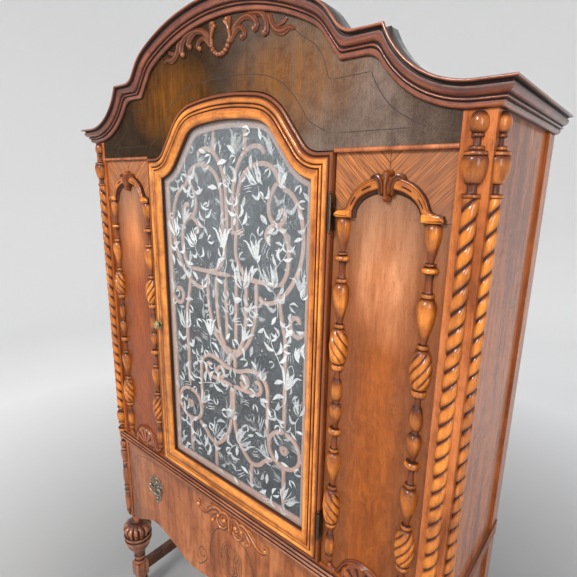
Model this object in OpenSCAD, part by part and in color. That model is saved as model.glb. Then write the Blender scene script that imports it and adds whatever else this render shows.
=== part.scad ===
// Display cabinet on turned legs: one arched glass door between two fixed panels,
// a long shaped drawer below, and a pediment crown that steps up to a round arch.
// Every module is drawn with X to the right, Y from the face of the front posts to the
// back, and Z up from the bead under the frieze; in_place() then sets it on the floor.

/* [Case] */
// Width over the corner posts
case_w = 1040; // [980:5:1100]
// Depth from the face of the front posts to the back
case_d = 380; // [340:5:440]
// Height of the frieze bead above the floor
bead_h = 1470; // [1440:5:1520]
// Side of the square corner posts
post_w = 44; // [40:1:48]
// Thickness of the side panels
side_t = 12; // [9:1:15]
// How far the side panels lie inside the face of the posts
side_in = 6; // [3:1:10]
// Thickness of the case floor and the top board
board_t = 18; // [14:1:22]
// Thickness of the back panel
back_t = 8; // [5:1:12]
// How far the back panel lies inside the back of the rear posts
back_in = 6; // [3:1:12]

/* [Display space] */
// Height from the waist moulding up to the frieze bead
display_h = 822; // [800:2:850]
// Thickness of the two fixed front panels
panel_t = 20; // [14:1:24]
// How far the fixed panels lie behind the face of the posts
panel_in = 6; // [3:1:10]
// Thickness of a shelf
shelf_t = 16; // [12:1:22]
// Height of the first shelf above the case floor
shelf_first = 200; // [180:5:240]
// Step from one shelf to the next
shelf_step = 205; // [190:5:220]
// Section of a shelf cleat
cleat_w = 14; // [10:1:18]
// Air between a shelf and what is round it
shelf_air = 1; // [0.5:0.5:2]

/* [Crown] */
// How far the crown stands out in front and at the sides
crown_out = 26; // [24:1:32]
// Height of the crown moulding
crown_t = 34; // [30:1:38]
// Top of the crown above the bead at its two ends
crown_end = 82; // [76:1:90]
// Distance from the middle to the outer corner of the step
crown_peak_x = 362; // [340:1:380]
// Top of the step above the bead
crown_peak = 171; // [160:1:180]
// Radius of the hollow that rises from the end to the step
crown_sweep_r = 145; // [120:1:160]
// Top of the middle arch above the bead
crown_top = 288; // [280:1:300]
// Radius of the flat middle of the arch
crown_arch_r = 508; // [480:2:540]
// Half the width of the flat middle of the arch
crown_arch_x = 236; // [220:1:240]
// Radius of the shoulders of the arch
crown_shoulder_r = 110; // [100:2:120]
// Steepest slope of the arch
crown_slope = 52; // [48:1:56]
// Radius where the arch runs into the step
crown_valley_r = 45; // [30:1:50]
// Radius under the outer corner of the step
crown_corner_r = 34; // [20:1:40]
// Thickness of the pediment board behind the crown
pediment_t = 20; // [16:1:26]
// Thickness of the boards of the hood behind the door arch
hood_t = 10; // [8:1:12]
// Height of the hood's roof above the door arch
hood_air = 8; // [4:1:12]
// Depth of the hood's inside behind the frieze board
hood_d = 200; // [120:5:240]

/* [Door] */
// Width of the door
door_w = 542; // [500:2:560]
// Thickness of the door frame behind its own flat edge
door_t = 24; // [22:1:26]
// How far the door stands in front of the posts
door_out = 4; // [2:1:6]
// Width of the door frame
frame_w = 48; // [44:1:52]
// Gap round the door
door_gap = 2; // [1.5:0.5:3]
// Top of the door's arch above the bead
arch_top = 119; // [112:1:124]
// Height of the door's shoulders above the bead
arch_foot = 2; // [0:1:4]
// Radius of the flat middle of the door's arch
arch_r = 600; // [560:5:640]
// Half the width of the flat middle of the door's arch
arch_x = 98; // [90:1:102]
// Radius of the haunches of the door's arch
haunch_r = 110; // [104:1:116]
// Steepest slope of the door's arch
arch_slope = 52; // [48:1:56]
// Radius where the arch runs into the shoulders
shoulder_r = 40; // [30:1:46]
// Thickness of the glass
glass_t = 3; // [2:0.5:4]
// How far the glass goes under the frame
glass_lap = 6; // [4:1:8]
// Thickness of the fretwork
fret_t = 4; // [3:0.5:5]
// Width of the fretwork strips
fret_w = 9; // [7:0.5:11]
// Width and thickness of the strips that hold the glass
bead_w = 8; // [6:1:10]
// Height of the door knob above the case floor
knob_up = 411; // [350:1:470]
// Radius of the door knob
knob_r = 8; // [6:0.5:10]
// How far the knob stands out of the door frame
knob_out = 17; // [12:1:18]

/* [Hinges] */
// Length of a hinge
hinge_l = 60; // [50:2:70]
// Radius of the hinge knuckles
knuckle_r = 3.6; // [3.2:0.1:3.8]
// How far the hinge pin stands in front of the posts
pin_out = 8; // [7.9:0.1:8.6]
// Radius of the hinge pin
pin_r = 1.6; // [1.4:0.1:1.8]
// Clearance of the pin in its bore
pin_fit = 0.06; // [0.03:0.01:0.1]
// Thickness of a hinge leaf
leaf_t = 1.6; // [1.2:0.1:1.8]
// Distance from the ends of the door's straight edge to the middle of a hinge
hinge_in = 97; // [80:1:120]
// Radius of a hinge screw
screw_r = 1.8; // [1.4:0.1:2.2]
// Length of a hinge screw
screw_l = 18; // [12:1:24]

/* [Waist and drawer] */
// Height of the reeded waist moulding
waist_h = 33; // [28:1:38]
// How far the waist moulding stands out
waist_out = 6; // [4:1:9]
// Gap round the drawer front
drawer_gap = 2; // [1.5:0.5:3]
// Thickness of the drawer front
drawer_front_t = 20; // [16:1:24]
// Height of the drawer front at the middle of its two side hollows
hollow_h = 227; // [215:1:240]
// Distance from the middle to those hollows
hollow_x = 340; // [320:2:360]
// Height of the drawer front at its two lobes
lobe_h = 270; // [255:1:280]
// Distance from the middle to the lobes
lobe_x = 155; // [140:1:180]
// Height of the drawer front in the middle
middle_h = 236; // [225:1:250]
// Height of the drawer front next to the posts
ear_h = 276; // [262:1:280]
// Height of the drawer box
box_h = 150; // [130:2:170]
// Thickness of the drawer sides
box_t = 12; // [10:1:15]
// Thickness of the drawer bottom
bottom_t = 6; // [4:1:9]
// Thickness of the drawer runners
runner_t = 20; // [16:1:24]
// Running clearance round the drawer box
run_gap = 0.3; // [0.2:0.1:1]
// Height of the lower side panels below the waist
lower_side_h = 220; // [200:2:240]

/* [Pulls] */
// Distance from the middle to each pull
pull_x = 325; // [290:1:350]
// Depth of the pull's pivot below the top of the drawer front
pull_down = 83; // [70:1:100]
// Half the distance between the two posts of a pull
pull_half = 20; // [18:1:24]
// Width of the pull's back plate
plate_w = 64; // [60:1:72]
// Height of the pull's back plate
plate_h = 82; // [74:1:90]
// Thickness of the pull's back plate
plate_t = 2; // [1.5:0.5:3]
// Radius of the pull's posts
pull_post_r = 4; // [3.5:0.5:5]
// How far the bail's pivot stands in front of the plate
bail_out = 7; // [6:0.5:9]
// Radius of the bail's rod
bail_r = 2.2; // [1.8:0.1:2.6]
// Length of the bail's straight arms
bail_arm = 16; // [12:1:22]
// Radius of the bail's pivot pins
bail_pin_r = 1.5; // [1.2:0.1:1.8]

/* [Columns and turnings] */
// Radius of the rope columns on the posts
rope_r = 11.5; // [9:0.5:13]
// Largest radius of the rope columns' urns
urn_r = 17; // [14:0.5:19]
// Largest radius of the split turnings on the panels
turning_r = 18.3; // [15:0.1:18.5]
// Distance from a post to the middle of the outer turning
turning_post = 27; // [24:0.5:30]
// Distance from a panel's edge beside the door to the middle of the inner turning
turning_door = 21; // [20.8:0.1:23]
// Largest radius of the split turnings beside the drawer
lower_r = 14; // [10:0.5:17]
// Distance from the bead down to the feet of the panel arches
arch_feet = 103; // [95:1:110]
// Height of the panel arches
panel_arch_h = 61; // [54:1:66]
// Width of the panel arch moulding at its top
panel_arch_w = 21; // [16:1:24]
// Width of the panel arch moulding at its feet
panel_arch_side = 15; // [9:1:18]
// Thickness of the panel arch moulding
panel_arch_t = 12; // [8:1:14]
// Width of the carved shells at the foot of the panels
shell_w = 124; // [100:2:132]
// Height of the carved shells
shell_h = 60; // [46:1:66]
// Thickness of the shells and the carvings
carving_t = 8; // [5:1:10]
// Half the width of the carving on the frieze
crest_x = 190; // [170:2:200]
// Height of the middle of that carving above the bead
crest_up = 219; // [214:1:222]
// Radius of the ring in that carving
crest_r = 27; // [24:1:29]
// Half the width of the carving on the drawer
drawer_crest_x = 133; // [115:1:145]
// Depth of the drawer carving's middle below the drawer's top edge
drawer_crest_down = 30; // [26:1:36]
// Radius of the bead strips under the frieze
strip_r = 3.5; // [2.5:0.5:5]

/* [Legs] */
// Height of the turned feet
foot_h = 70; // [60:1:80]
// Height of the square block that takes the stretchers
block_h = 54; // [48:1:60]
// Height of the turned neck over the block
neck_h = 41; // [36:1:48]
// Height of the melon bulb with its cup
bulb_h = 133; // [120:1:140]
// Radius of the melon bulb
bulb_r = 48; // [42:1:54]
// Height of the taper between bulb and post
taper_h = 34; // [28:1:40]
// Side of the stretcher block
block_w = 42; // [38:1:44]
// Height of the stretchers
stretcher_h = 33; // [28:1:38]
// Thickness of the stretchers
stretcher_t = 22; // [18:1:26]

/* [Hidden] */

// Colours
orange_walnut = "peru";
panel_walnut = "sienna";
dark_walnut = "#5a4032";
inside_walnut = "#8a6a4a";
brass = "goldenrod";

// Half sizes and places that several pieces share
half_w = case_w / 2;
post_in_x = half_w - post_w;
post_mid_x = half_w - post_w / 2;
side_in_x = half_w - side_in - side_t;
back_y = case_d - back_in - back_t;
rear_post_y = case_d - post_w;
leg_h = foot_h + block_h + neck_h + bulb_h + taper_h;
floor_z = -bead_h;
post_foot_z = floor_z + leg_h;
post_top_z = crown_end - crown_t;
waist_foot_z = -display_h - waist_h;
drawer_top_z = waist_foot_z - drawer_gap;
front_y = (crown_out - case_d) / 2;
half_door = door_w / 2;
door_foot_z = -display_h + door_gap;
jamb_x = half_door + door_gap;
outer_turning_x = post_in_x - turning_post;
inner_turning_x = jamb_x + turning_door;
panel_mid_x = (outer_turning_x + inner_turning_x) / 2;
rail_t = 20;
eps = 0.01;

module in_place() {
    translate([0, front_y, bead_h]) children();
}

// A plate drawn in the X and Z directions that reaches from one depth to another
module plate(y0, y1) {
    translate([0, y1, 0]) rotate([90, 0, 0]) linear_extrude(y1 - y0) children();
}

// A box given by its lowest and highest corner
module block(low, high) {
    translate(low) cube(high - low);
}

module both_sides() {
    children();
    mirror([1, 0, 0]) children();
}

// Points of an arc about a centre, with angles measured from straight up
function arc(centre, r, a0, a1, n) =
    [for (i = [0 : n]) let (a = a0 + (a1 - a0) * i / n)
        [centre[0] + r * sin(a), centre[1] + r * cos(a)]];

// The right half of an arch that runs into a level foot, moved inwards by an offset:
// a flat middle arc, a tighter shoulder, a straight slope and a hollow of its own radius
function half_arch(top, r1, x1, r2, slope, foot, hollow_r, offset) =
    let (
        a1 = asin(x1 / r1),
        c2 = [x1 - r2 * sin(a1), top - r1 + (r1 - r2) * cos(a1)],
        end2 = c2 + (r2 - offset) * [sin(slope), cos(slope)],
        z3 = foot - offset + hollow_r * (1 - cos(slope)),
        x3 = end2[0] + (end2[1] - z3) / tan(slope),
        c3 = [x3 + hollow_r * sin(slope), foot - offset + hollow_r]
    )
    concat(
        arc([0, top - r1], r1 - offset, 0, a1, 8),
        [for (p = arc(c2, r2 - offset, a1, slope, 5)) if (p[0] > (r1 - offset) * sin(a1) + eps) p],
        arc(c3, hollow_r, 180 + slope, 180, 5)
    );

// The right half of the crown's line at an offset below its top edge
function half_crown(offset) =
    let (
        hollow_r = crown_valley_r * (1 - offset / crown_t) + 2,
        arch = half_arch(crown_top, crown_arch_r, crown_arch_x, crown_shoulder_r,
            crown_slope, crown_peak, hollow_r, offset),
        rise = crown_peak - crown_end,
        sweep_x = crown_peak_x + sqrt(pow(crown_sweep_r, 2) - pow(crown_sweep_r - rise, 2)),
        sweep = [sweep_x, crown_end + crown_sweep_r],
        r = crown_sweep_r + offset,
        round_r = crown_corner_r * offset / crown_t + 1,
        round_z = crown_peak - offset - round_r,
        round_x = sweep_x - sqrt(pow(r + round_r, 2) - pow(sweep[1] - round_z, 2)),
        turn = atan2(sweep_x - round_x, sweep[1] - round_z)
    )
    concat(
        arch,
        arc([round_x, round_z], round_r, 0, turn, 4),
        arc(sweep, r, 180 + turn, 180, 10)
    );

function flip(points) = [for (i = [len(points) - 1 : -1 : 0]) [-points[i][0], points[i][1]]];
function reverse(points) = [for (i = [len(points) - 1 : -1 : 0]) points[i]];
function whole(half) = concat(flip(half), [for (p = half) if (p[0] > eps) p]);

// The door's outline at an offset inside its edge, from side to side over the arch
function door_line(offset) =
    let (half = half_arch(arch_top, arch_r, arch_x, haunch_r, arch_slope,
        arch_foot, shoulder_r + offset, offset))
    whole(concat(half, [[half_door + 2 * frame_w, arch_foot - offset]]));

// A flat shape with the door's outline, offset inwards, down to a level
module door_shape(offset, foot) {
    intersection() {
        polygon(concat(door_line(offset),
            [[half_door + 2 * frame_w, foot], [-half_door - 2 * frame_w, foot]]));
        translate([-half_door + offset, foot])
            square([door_w - 2 * offset, arch_top - foot]);
    }
}

// Radius and height of a turned form built from members: height, radius at its start,
// radius in its middle, radius at its end, and how early its fullest place comes
function member(m, z0, scale_z, scale_r) =
    let (n = m[0] > 16 ? 7 : 4)
    [for (i = [0 : n]) let (t = i / n, u = 2 * pow(t, m[4]) - 1)
        [scale_r * (m[1] + (m[3] - m[1]) * t + (m[2] - (m[1] + m[3]) / 2) * sqrt(1 - u * u)),
            z0 - scale_z * m[0] * t]];
function sum_to(list, k) = k <= 0 ? 0 : list[k - 1][0] + sum_to(list, k - 1);
function turned_line(list, length, scale_r) =
    let (scale_z = length / sum_to(list, len(list)))
    [for (k = [0 : len(list) - 1]) each member(list[k], -scale_z * sum_to(list, k), scale_z, scale_r)];
// Drops points that repeat the one before
function tidy(p) = [for (i = [0 : len(p) - 1]) if (i == 0 || norm(p[i] - p[i - 1]) > 0.02) p[i]];

// A turned form that hangs down from its top at the origin
module turned(list, length, scale_r) {
    line = tidy(turned_line(list, length, scale_r));
    rotate_extrude($fn = 48) polygon(concat([[0, 0]], line, [[0, -length]]));
}

// The front half of a turned form, with its flat back on the plane Y = 0
module split_turned(list, length, scale_r, widest) {
    difference() {
        turned(list, length, scale_r);
        block([-2 * widest, 0, -length - 1], [2 * widest, 2 * widest, 1]);
    }
}

// Members of the split turnings on the panels, for a largest radius of one
panel_members = [
    [42, 0.30, 0.68, 0.30, 0.8], [14, 0.30, 0.26, 0.26, 1], [5, 0.40, 0.48, 0.36, 1],
    [10, 0.44, 0.74, 0.44, 1], [28, 0.42, 0.36, 0.44, 1], [8, 0.44, 0.60, 0.44, 1],
    [34, 0.62, 0.84, 0.46, 0.6], [36, 0.46, 0.36, 0.32, 1], [8, 0.40, 0.54, 0.40, 1],
    [64, 0.42, 1.00, 0.42, 1], [12, 0.50, 0.68, 0.46, 1], [16, 0.34, 0.30, 0.34, 1],
    [40, 0.38, 0.56, 0.36, 1], [6, 0.32, 0.32, 0.36, 1], [26, 0.50, 0.68, 0.46, 0.7],
    [22, 0.46, 0.34, 0.32, 1], [13, 0.44, 0.74, 0.44, 1], [28, 0.34, 0.30, 0.36, 1],
    [8, 0.40, 0.54, 0.40, 1], [36, 0.56, 0.78, 0.46, 0.7], [34, 0.46, 0.36, 0.32, 1],
    [8, 0.42, 0.56, 0.42, 1], [72, 0.42, 1.00, 0.42, 1], [9, 0.48, 0.68, 0.44, 1],
    [18, 0.34, 0.30, 0.34, 1], [44, 0.38, 0.58, 0.36, 1], [4, 0.34, 0.34, 0.36, 1],
    [14, 0.30, 0.46, 0.20, 1]];
// Members above the rope: ball, rings and urn, for a largest radius of one
urn_members = [
    [26, 0.20, 0.74, 0.30, 1], [5, 0.44, 0.52, 0.44, 1], [10, 0.32, 0.30, 0.34, 1],
    [6, 0.56, 0.64, 0.56, 1], [6, 0.84, 0.94, 0.86, 1], [34, 0.80, 1.00, 0.52, 0.8],
    [12, 0.44, 0.40, 0.46, 1], [6, 0.66, 0.76, 0.66, 1]];
// Members below the rope
base_members = [
    [6, 0.66, 0.76, 0.66, 1], [10, 0.42, 0.38, 0.42, 1], [34, 0.56, 0.92, 0.50, 0.8],
    [8, 0.60, 0.74, 0.60, 1], [12, 0.44, 0.40, 0.50, 1], [10, 0.78, 0.88, 0.78, 1]];
// Members of the split turnings beside the drawer
lower_members = [
    [24, 0.40, 0.98, 0.44, 1], [9, 0.60, 0.80, 0.60, 1], [40, 0.62, 1.00, 0.44, 0.7],
    [9, 0.50, 0.74, 0.50, 1], [12, 0.40, 0.36, 0.42, 1], [66, 0.52, 0.86, 0.50, 1],
    [9, 0.60, 0.80, 0.60, 1], [9, 0.50, 0.46, 0.50, 1], [9, 0.60, 0.80, 0.60, 1],
    [66, 0.46, 0.84, 0.40, 0.9], [22, 0.36, 0.30, 0.20, 1]];

// Posts
module front_post(side) {
    color(panel_walnut)
    in_place() mirror([side < 0 ? 1 : 0, 0, 0])
        block([post_in_x, 0, post_foot_z], [half_w, post_w, post_top_z]);
}

// The rear posts run down to the floor and narrow below the stretchers
module rear_post(side) {
    taper = (post_w - block_w) / 2 + 3;
    color(panel_walnut)
    in_place() mirror([side < 0 ? 1 : 0, 0, 0])
    difference() {
        block([post_in_x, rear_post_y, floor_z], [half_w, case_d, post_top_z]);
        for (x = [post_in_x - 1, half_w - taper])
            block([x, rear_post_y - 1, floor_z - 1], [x + taper + 1, case_d + 1, floor_z + foot_h]);
        block([post_in_x - 1, rear_post_y - 1, floor_z - 1],
            [half_w + 1, rear_post_y + taper, floor_z + foot_h]);
    }
}

// Plain side panels of the display space, between the posts
module side_panel(side) {
    color(panel_walnut)
    in_place() mirror([side < 0 ? 1 : 0, 0, 0])
        block([side_in_x, post_w, waist_foot_z], [side_in_x + side_t, rear_post_y, post_top_z]);
}

module lower_side_panels() {
    color(panel_walnut)
    in_place() both_sides()
        block([side_in_x, post_w, waist_foot_z - lower_side_h],
            [side_in_x + side_t, rear_post_y, waist_foot_z]);
}

module back_panel() {
    color(inside_walnut)
    in_place() block([-post_in_x, back_y, -display_h - board_t], [post_in_x, back_y + back_t, post_top_z]);
}

// The rail behind the drawer, with the two blocks that stop it
module lower_back_rail() {
    rail_y = case_d - back_in - rail_t;
    color(inside_walnut)
    in_place() {
        block([-post_in_x, rail_y, drawer_top_z - box_h - 8 - runner_t],
            [post_in_x, rail_y + rail_t, -display_h - board_t]);
        both_sides() block([post_in_x - 90, box_back_y + run_gap, drawer_top_z - 8 - box_h / 2],
            [post_in_x - 50, rail_y, drawer_top_z - 8]);
    }
}
box_back_y = case_d - back_in - rail_t - 12;

// A board that fills the case from side to side and clears the posts by a gap
module case_board(y0, y1, z0, z1, gap) {
    difference() {
        block([-side_in_x + gap, y0, z0], [side_in_x - gap, y1, z1]);
        both_sides() {
            block([post_in_x - gap, -1, z0 - 1], [half_w, post_w + gap, z1 + 1]);
            block([post_in_x - gap, rear_post_y - gap, z0 - 1], [half_w, case_d, z1 + 1]);
        }
    }
}

module case_floor() {
    color(inside_walnut)
    in_place() case_board(rail_t, back_y, -display_h - board_t, -display_h, 0);
}

module waist_rail() {
    color(panel_walnut)
    in_place() block([-post_in_x, 0, waist_foot_z], [post_in_x, rail_t, -display_h]);
}

// The hood's inside, which the top board is cut out for
hood_x = half_door - frame_w + 8;
hood_y = pediment_t + hood_d;
hood_z = arch_top + hood_air;
module top_board() {
    color(inside_walnut)
    in_place() difference() {
        case_board(pediment_t, back_y, post_top_z - board_t, post_top_z, 0);
        block([-hood_x, pediment_t - 1, post_top_z - board_t - 1], [hood_x, hood_y, post_top_z + 1]);
    }
}

// Roof, sides and back over the cut-out, so the arched door opens on to full height
module hood() {
    color(inside_walnut)
    in_place() difference() {
        block([-hood_x - hood_t, pediment_t, post_top_z], [hood_x + hood_t, hood_y + hood_t, hood_z + hood_t]);
        block([-hood_x, pediment_t - 1, post_top_z - 1], [hood_x, hood_y, hood_z]);
    }
}

// Shelves stand behind the fixed panels and rest on cleats at the sides
shelf_y = panel_in + panel_t + 8;
function shelf_z(k) = -display_h + shelf_first + k * shelf_step;
module shelf(k) {
    color(inside_walnut)
    in_place() case_board(shelf_y, back_y - shelf_air, shelf_z(k), shelf_z(k) + shelf_t, shelf_air);
}
module shelf_cleats() {
    color(inside_walnut)
    in_place() both_sides()
        for (k = [0 : 2])
            block([side_in_x - cleat_w, post_w + cleat_w, shelf_z(k) - cleat_w],
                [side_in_x, rear_post_y - cleat_w, shelf_z(k)]);
}

// Fixed panels between the door and the posts, with the hinge leaves let in
module front_panel(side) {
    color(panel_walnut)
    in_place() difference() {
        mirror([side < 0 ? 1 : 0, 0, 0])
            block([jamb_x, panel_in, -display_h], [post_in_x, panel_in + panel_t, 0]);
        if (side > 0)
            for (z = hinge_places) case_leaf_seat(z);
    }
}

// Pediment board: fills the frieze between the posts, and runs over the post tops
module frieze_board() {
    line = whole(half_crown(0.6));
    color(dark_walnut)
    in_place() plate(0, pediment_t) difference() {
        polygon(concat(line,
            [[half_w, crown_end - 0.6], [half_w, post_top_z], [post_in_x, post_top_z], [post_in_x, 0],
            [-post_in_x, 0], [-post_in_x, post_top_z], [-half_w, post_top_z],
            [-half_w, crown_end - 0.6]]));
        door_shape(-door_gap, -2 * frame_w);
    }
}

// Crown section, from the top edge down: where each member starts, and how far it is out
crown_section = [[0, 1], [0.10, 0.96], [0.20, 0.80], [0.27, 0.86], [0.42, 0.74], [0.55, 0.56],
    [0.62, 0.36], [0.68, 0.46], [0.77, 0.20], [0.83, 0.34], [0.93, 0.24], [1, 0]];
module crown_moulding() {
    color(orange_walnut)
    in_place()
        for (k = [0 : len(crown_section) - 2]) {
            out = crown_section[k][1] * crown_out;
            upper = half_crown(crown_section[k][0] * crown_t);
            lower = half_crown(crown_section[k + 1][0] * crown_t);
            end_x = half_w + out;
            plate(-out, 0) polygon(concat(
                whole(concat(upper, [[end_x, crown_end - crown_section[k][0] * crown_t]])),
                reverse(whole(concat(lower, [[end_x, crown_end - crown_section[k + 1][0] * crown_t]])))));
        }
}

// The same section along both sides, on a base that stands on the posts
module crown_returns() {
    color(orange_walnut)
    in_place() both_sides() {
        for (k = [0 : len(crown_section) - 2])
            block([half_w, 0, crown_end - crown_section[k + 1][0] * crown_t],
                [half_w + crown_section[k][1] * crown_out, case_d,
                crown_end - crown_section[k][0] * crown_t]);
        block([half_w - pediment_t, pediment_t, post_top_z], [half_w, case_d, crown_end]);
    }
}

module frieze_beads() {
    color(orange_walnut)
    in_place() both_sides() difference() {
        translate([jamb_x, 0, strip_r]) rotate([0, 90, 0])
            cylinder(h = post_in_x - jamb_x, r = strip_r, $fn = 32);
        block([0, 0, -1], [half_w, 2 * strip_r, 3 * strip_r]);
    }
}

// Three reeds over a flat ground, in front and along both sides
module reeds(length) {
    reed_r = waist_out * 0.6;
    difference() {
        union() {
            block([0, -waist_out * 0.4, waist_foot_z], [length, 0, -display_h]);
            for (k = [-1 : 1])
                translate([0, reed_r - waist_out, waist_foot_z + waist_h / 2 + k * (waist_h / 2 - reed_r - 1)])
                    rotate([0, 90, 0]) cylinder(h = length, r = reed_r, $fn = 32);
        }
        block([-1, 0, waist_foot_z - 1], [length + 1, 2 * reed_r, 1 - display_h]);
    }
}
module waist_moulding() {
    corner = waist_out - 0.2;
    color(orange_walnut)
    in_place() {
        translate([-half_w - corner, 0, 0]) reeds(case_w + 2 * corner);
        both_sides() translate([half_w, 0, 0]) rotate([0, 0, 90]) reeds(case_d);
        both_sides() block([half_w - side_in, post_w, waist_foot_z], [half_w, rear_post_y, -display_h]);
    }
}

// Rope columns: ball and urn above, a plain shaft, rings and a vase below
column_top = 46;
urn_l = 112;
base_l = 84;
column_foot = -display_h;
module column() {
    translate([0, 0, column_top]) split_turned(urn_members, urn_l, urn_r, urn_r);
    shaft_top = column_top - urn_l;
    difference() {
        translate([0, 0, column_foot + base_l])
            cylinder(h = shaft_top - column_foot - base_l, r = rope_r, $fn = 48);
        block([-2 * rope_r, 0, column_foot], [2 * rope_r, 2 * rope_r, column_top]);
    }
    translate([0, 0, column_foot + base_l]) split_turned(base_members, base_l, urn_r, urn_r);
}
module rope_column(side) {
    color(orange_walnut)
    in_place() translate([side * post_mid_x, 0, 0]) column();
}
module side_rope_columns() {
    color(orange_walnut)
    in_place() both_sides()
        translate([half_w, post_w / 2, 0]) rotate([0, 0, 90]) column();
}

// Split turnings from the feet of the arches down to the waist moulding
turning_l = display_h - arch_feet - 20;
module panel_turnings(side) {
    color(orange_walnut)
    in_place()
        for (x = [outer_turning_x, inner_turning_x])
            translate([side * x, panel_in, -arch_feet])
                split_turned(panel_members, turning_l, turning_r, turning_r);
}

// Oval arch over the two turnings, with a foot on each and a keystone
panel_half = (outer_turning_x - inner_turning_x) / 2;
arch_foot_w = 34;
arch_foot_h = 12;
module arch_ring() {
    outer_x = panel_half - 4;
    outer = [for (a = [0 : 10 : 180]) [outer_x * cos(a), panel_arch_h * sin(a)]];
    inner = [for (a = [180 : -10 : 0])
        [(outer_x - panel_arch_side) * cos(a), (panel_arch_h - panel_arch_w) * sin(a)]];
    polygon(concat(outer, inner));
}
module panel_arches() {
    key_foot = panel_arch_h - panel_arch_w - 10;
    key_top = panel_arch_h + 14;
    color(orange_walnut)
    in_place() both_sides() translate([panel_mid_x, 0, -arch_feet]) {
        plate(panel_in - panel_arch_t, panel_in) {
            arch_ring();
            for (s = [-1, 1]) translate([s * panel_half, arch_foot_h / 2])
                square([arch_foot_w, arch_foot_h], center = true);
        }
        plate(panel_in - panel_arch_t - 4, panel_in)
            polygon([[-9, key_foot], [9, key_foot], [11, key_top - 22], [21, key_top - 12], [16, key_top - 5],
                [0, key_top], [-16, key_top - 5], [-21, key_top - 12], [-11, key_top - 22]]);
    }
}

// Fan shaped shells with a scroll at each side, on the waist moulding
module panel_shells() {
    r = shell_w * 0.4;
    curl_r = shell_w * 0.09;
    color(panel_walnut)
    in_place() both_sides() translate([panel_mid_x, 0, -display_h]) plate(panel_in - carving_t, panel_in) {
        polygon([for (a = [0 : 10 : 180]) [r * cos(a), shell_h * sin(a)]]);
        for (s = [-1, 1]) translate([s * (shell_w / 2 - curl_r), curl_r]) circle(r = curl_r, $fn = 32);
    }
}

// A tapering leaf scroll: an arc strip from a thick end to a thin end
module leaf(centre, r, a0, a1, w0, w1) {
    n = 10;
    polygon(concat(
        [for (i = [0 : n]) let (a = a0 + (a1 - a0) * i / n, w = w0 + (w1 - w0) * i / n)
            [centre[0] + (r + w / 2) * cos(a), centre[1] + (r + w / 2) * sin(a)]],
        [for (i = [n : -1 : 0]) let (a = a0 + (a1 - a0) * i / n, w = w0 + (w1 - w0) * i / n)
            [centre[0] + (r - w / 2) * cos(a), centre[1] + (r - w / 2) * sin(a)]]));
}

// Open ring with a branch of leaf scrolls at each side. Its leaves are drawn for the
// reach of the real carving and scaled to the chosen one.
crest_reach = 163;
module frieze_carving() {
    color(dark_walnut)
    in_place() translate([0, 0, crest_up]) plate(-carving_t, 0) {
        difference() {
            circle(r = crest_r + 4, $fn = 48);
            circle(r = crest_r - 5, $fn = 48);
        }
        both_sides() translate([crest_r, 0]) scale((crest_x - crest_r) / crest_reach) {
            leaf([21, -8], 15, 200, 10, 10, 7);
            leaf([35, -4], 27, 195, 18, 9, 7);
            leaf([68, -8], 27, 128, -20, 8, 8);
            leaf([126, 16], 34, 180, 312, 8, 7);
        }
    }
}

drawer_reach = 133;
module drawer_carving() {
    color(panel_walnut)
    in_place() translate([0, 0, drawer_top_z - drawer_crest_down])
        plate(drawer_face_y - carving_t, drawer_face_y) scale(drawer_crest_x / drawer_reach) {
            translate([0, 10]) circle(r = 8, $fn = 32);
            both_sides() {
                translate([21, 0]) circle(r = 16, $fn = 32);
                translate([4, 0]) circle(r = 5, $fn = 32);
                leaf([42, -8], 22, 140, 35, 11, 8);
                leaf([96, 24], 38, 208, 318, 8, 6);
                translate([126, 2]) circle(r = 6, $fn = 32);
            }
        }
}

module lower_turnings() {
    color(panel_walnut)
    in_place() both_sides() translate([post_mid_x, 0, waist_foot_z - 4])
        split_turned(lower_members, waist_foot_z - 4 - post_foot_z, lower_r, lower_r);
}

// Front legs: taper, melon in its cup, ringed neck, square block and turned foot
bulb_members = [
    [8, 0.30, 0.36, 0.32, 1], [44, 0.34, 0.93, 0.86, 0.62], [10, 0.90, 0.96, 0.88, 1],
    [6, 0.84, 0.82, 0.84, 1], [12, 0.90, 0.94, 0.88, 1], [14, 0.84, 0.82, 0.74, 1],
    [26, 0.74, 0.74, 0.48, 0.6], [13, 0.46, 0.42, 0.40, 1]];
neck_members = [[12, 0.66, 0.56, 0.62, 1], [9, 0.76, 0.90, 0.76, 1], [8, 0.66, 0.62, 0.66, 1],
    [12, 0.78, 0.94, 0.80, 1]];
foot_members = [[10, 0.80, 0.90, 0.76, 1], [8, 0.60, 0.58, 0.62, 1], [40, 0.84, 1.12, 0.72, 0.9],
    [12, 0.66, 0.70, 0.60, 1]];
module front_leg(side) {
    half_block = block_w / 2;
    block_z = floor_z + foot_h;
    neck_z = block_z + block_h;
    bulb_z = neck_z + neck_h;
    color(orange_walnut)
    in_place() translate([side * post_mid_x, post_w / 2, 0]) {
        rotate_extrude($fn = 48) polygon(concat(
            [[0, post_foot_z], [post_w / 2 - 2, post_foot_z]],
            arc([post_w / 2 + 4, post_foot_z - taper_h * 0.2], post_w / 2 - 4, 270, 235, 5),
            [[bulb_r * 0.28, bulb_z + bulb_h], [0, bulb_z + bulb_h]]));
        translate([0, 0, bulb_z + bulb_h]) turned(bulb_members, bulb_h, bulb_r);
        translate([0, 0, bulb_z]) turned(neck_members, neck_h, half_block);
        block([-half_block, -half_block, block_z], [half_block, half_block, neck_z]);
        translate([0, 0, block_z]) turned(foot_members, foot_h, half_block);
    }
}

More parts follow.
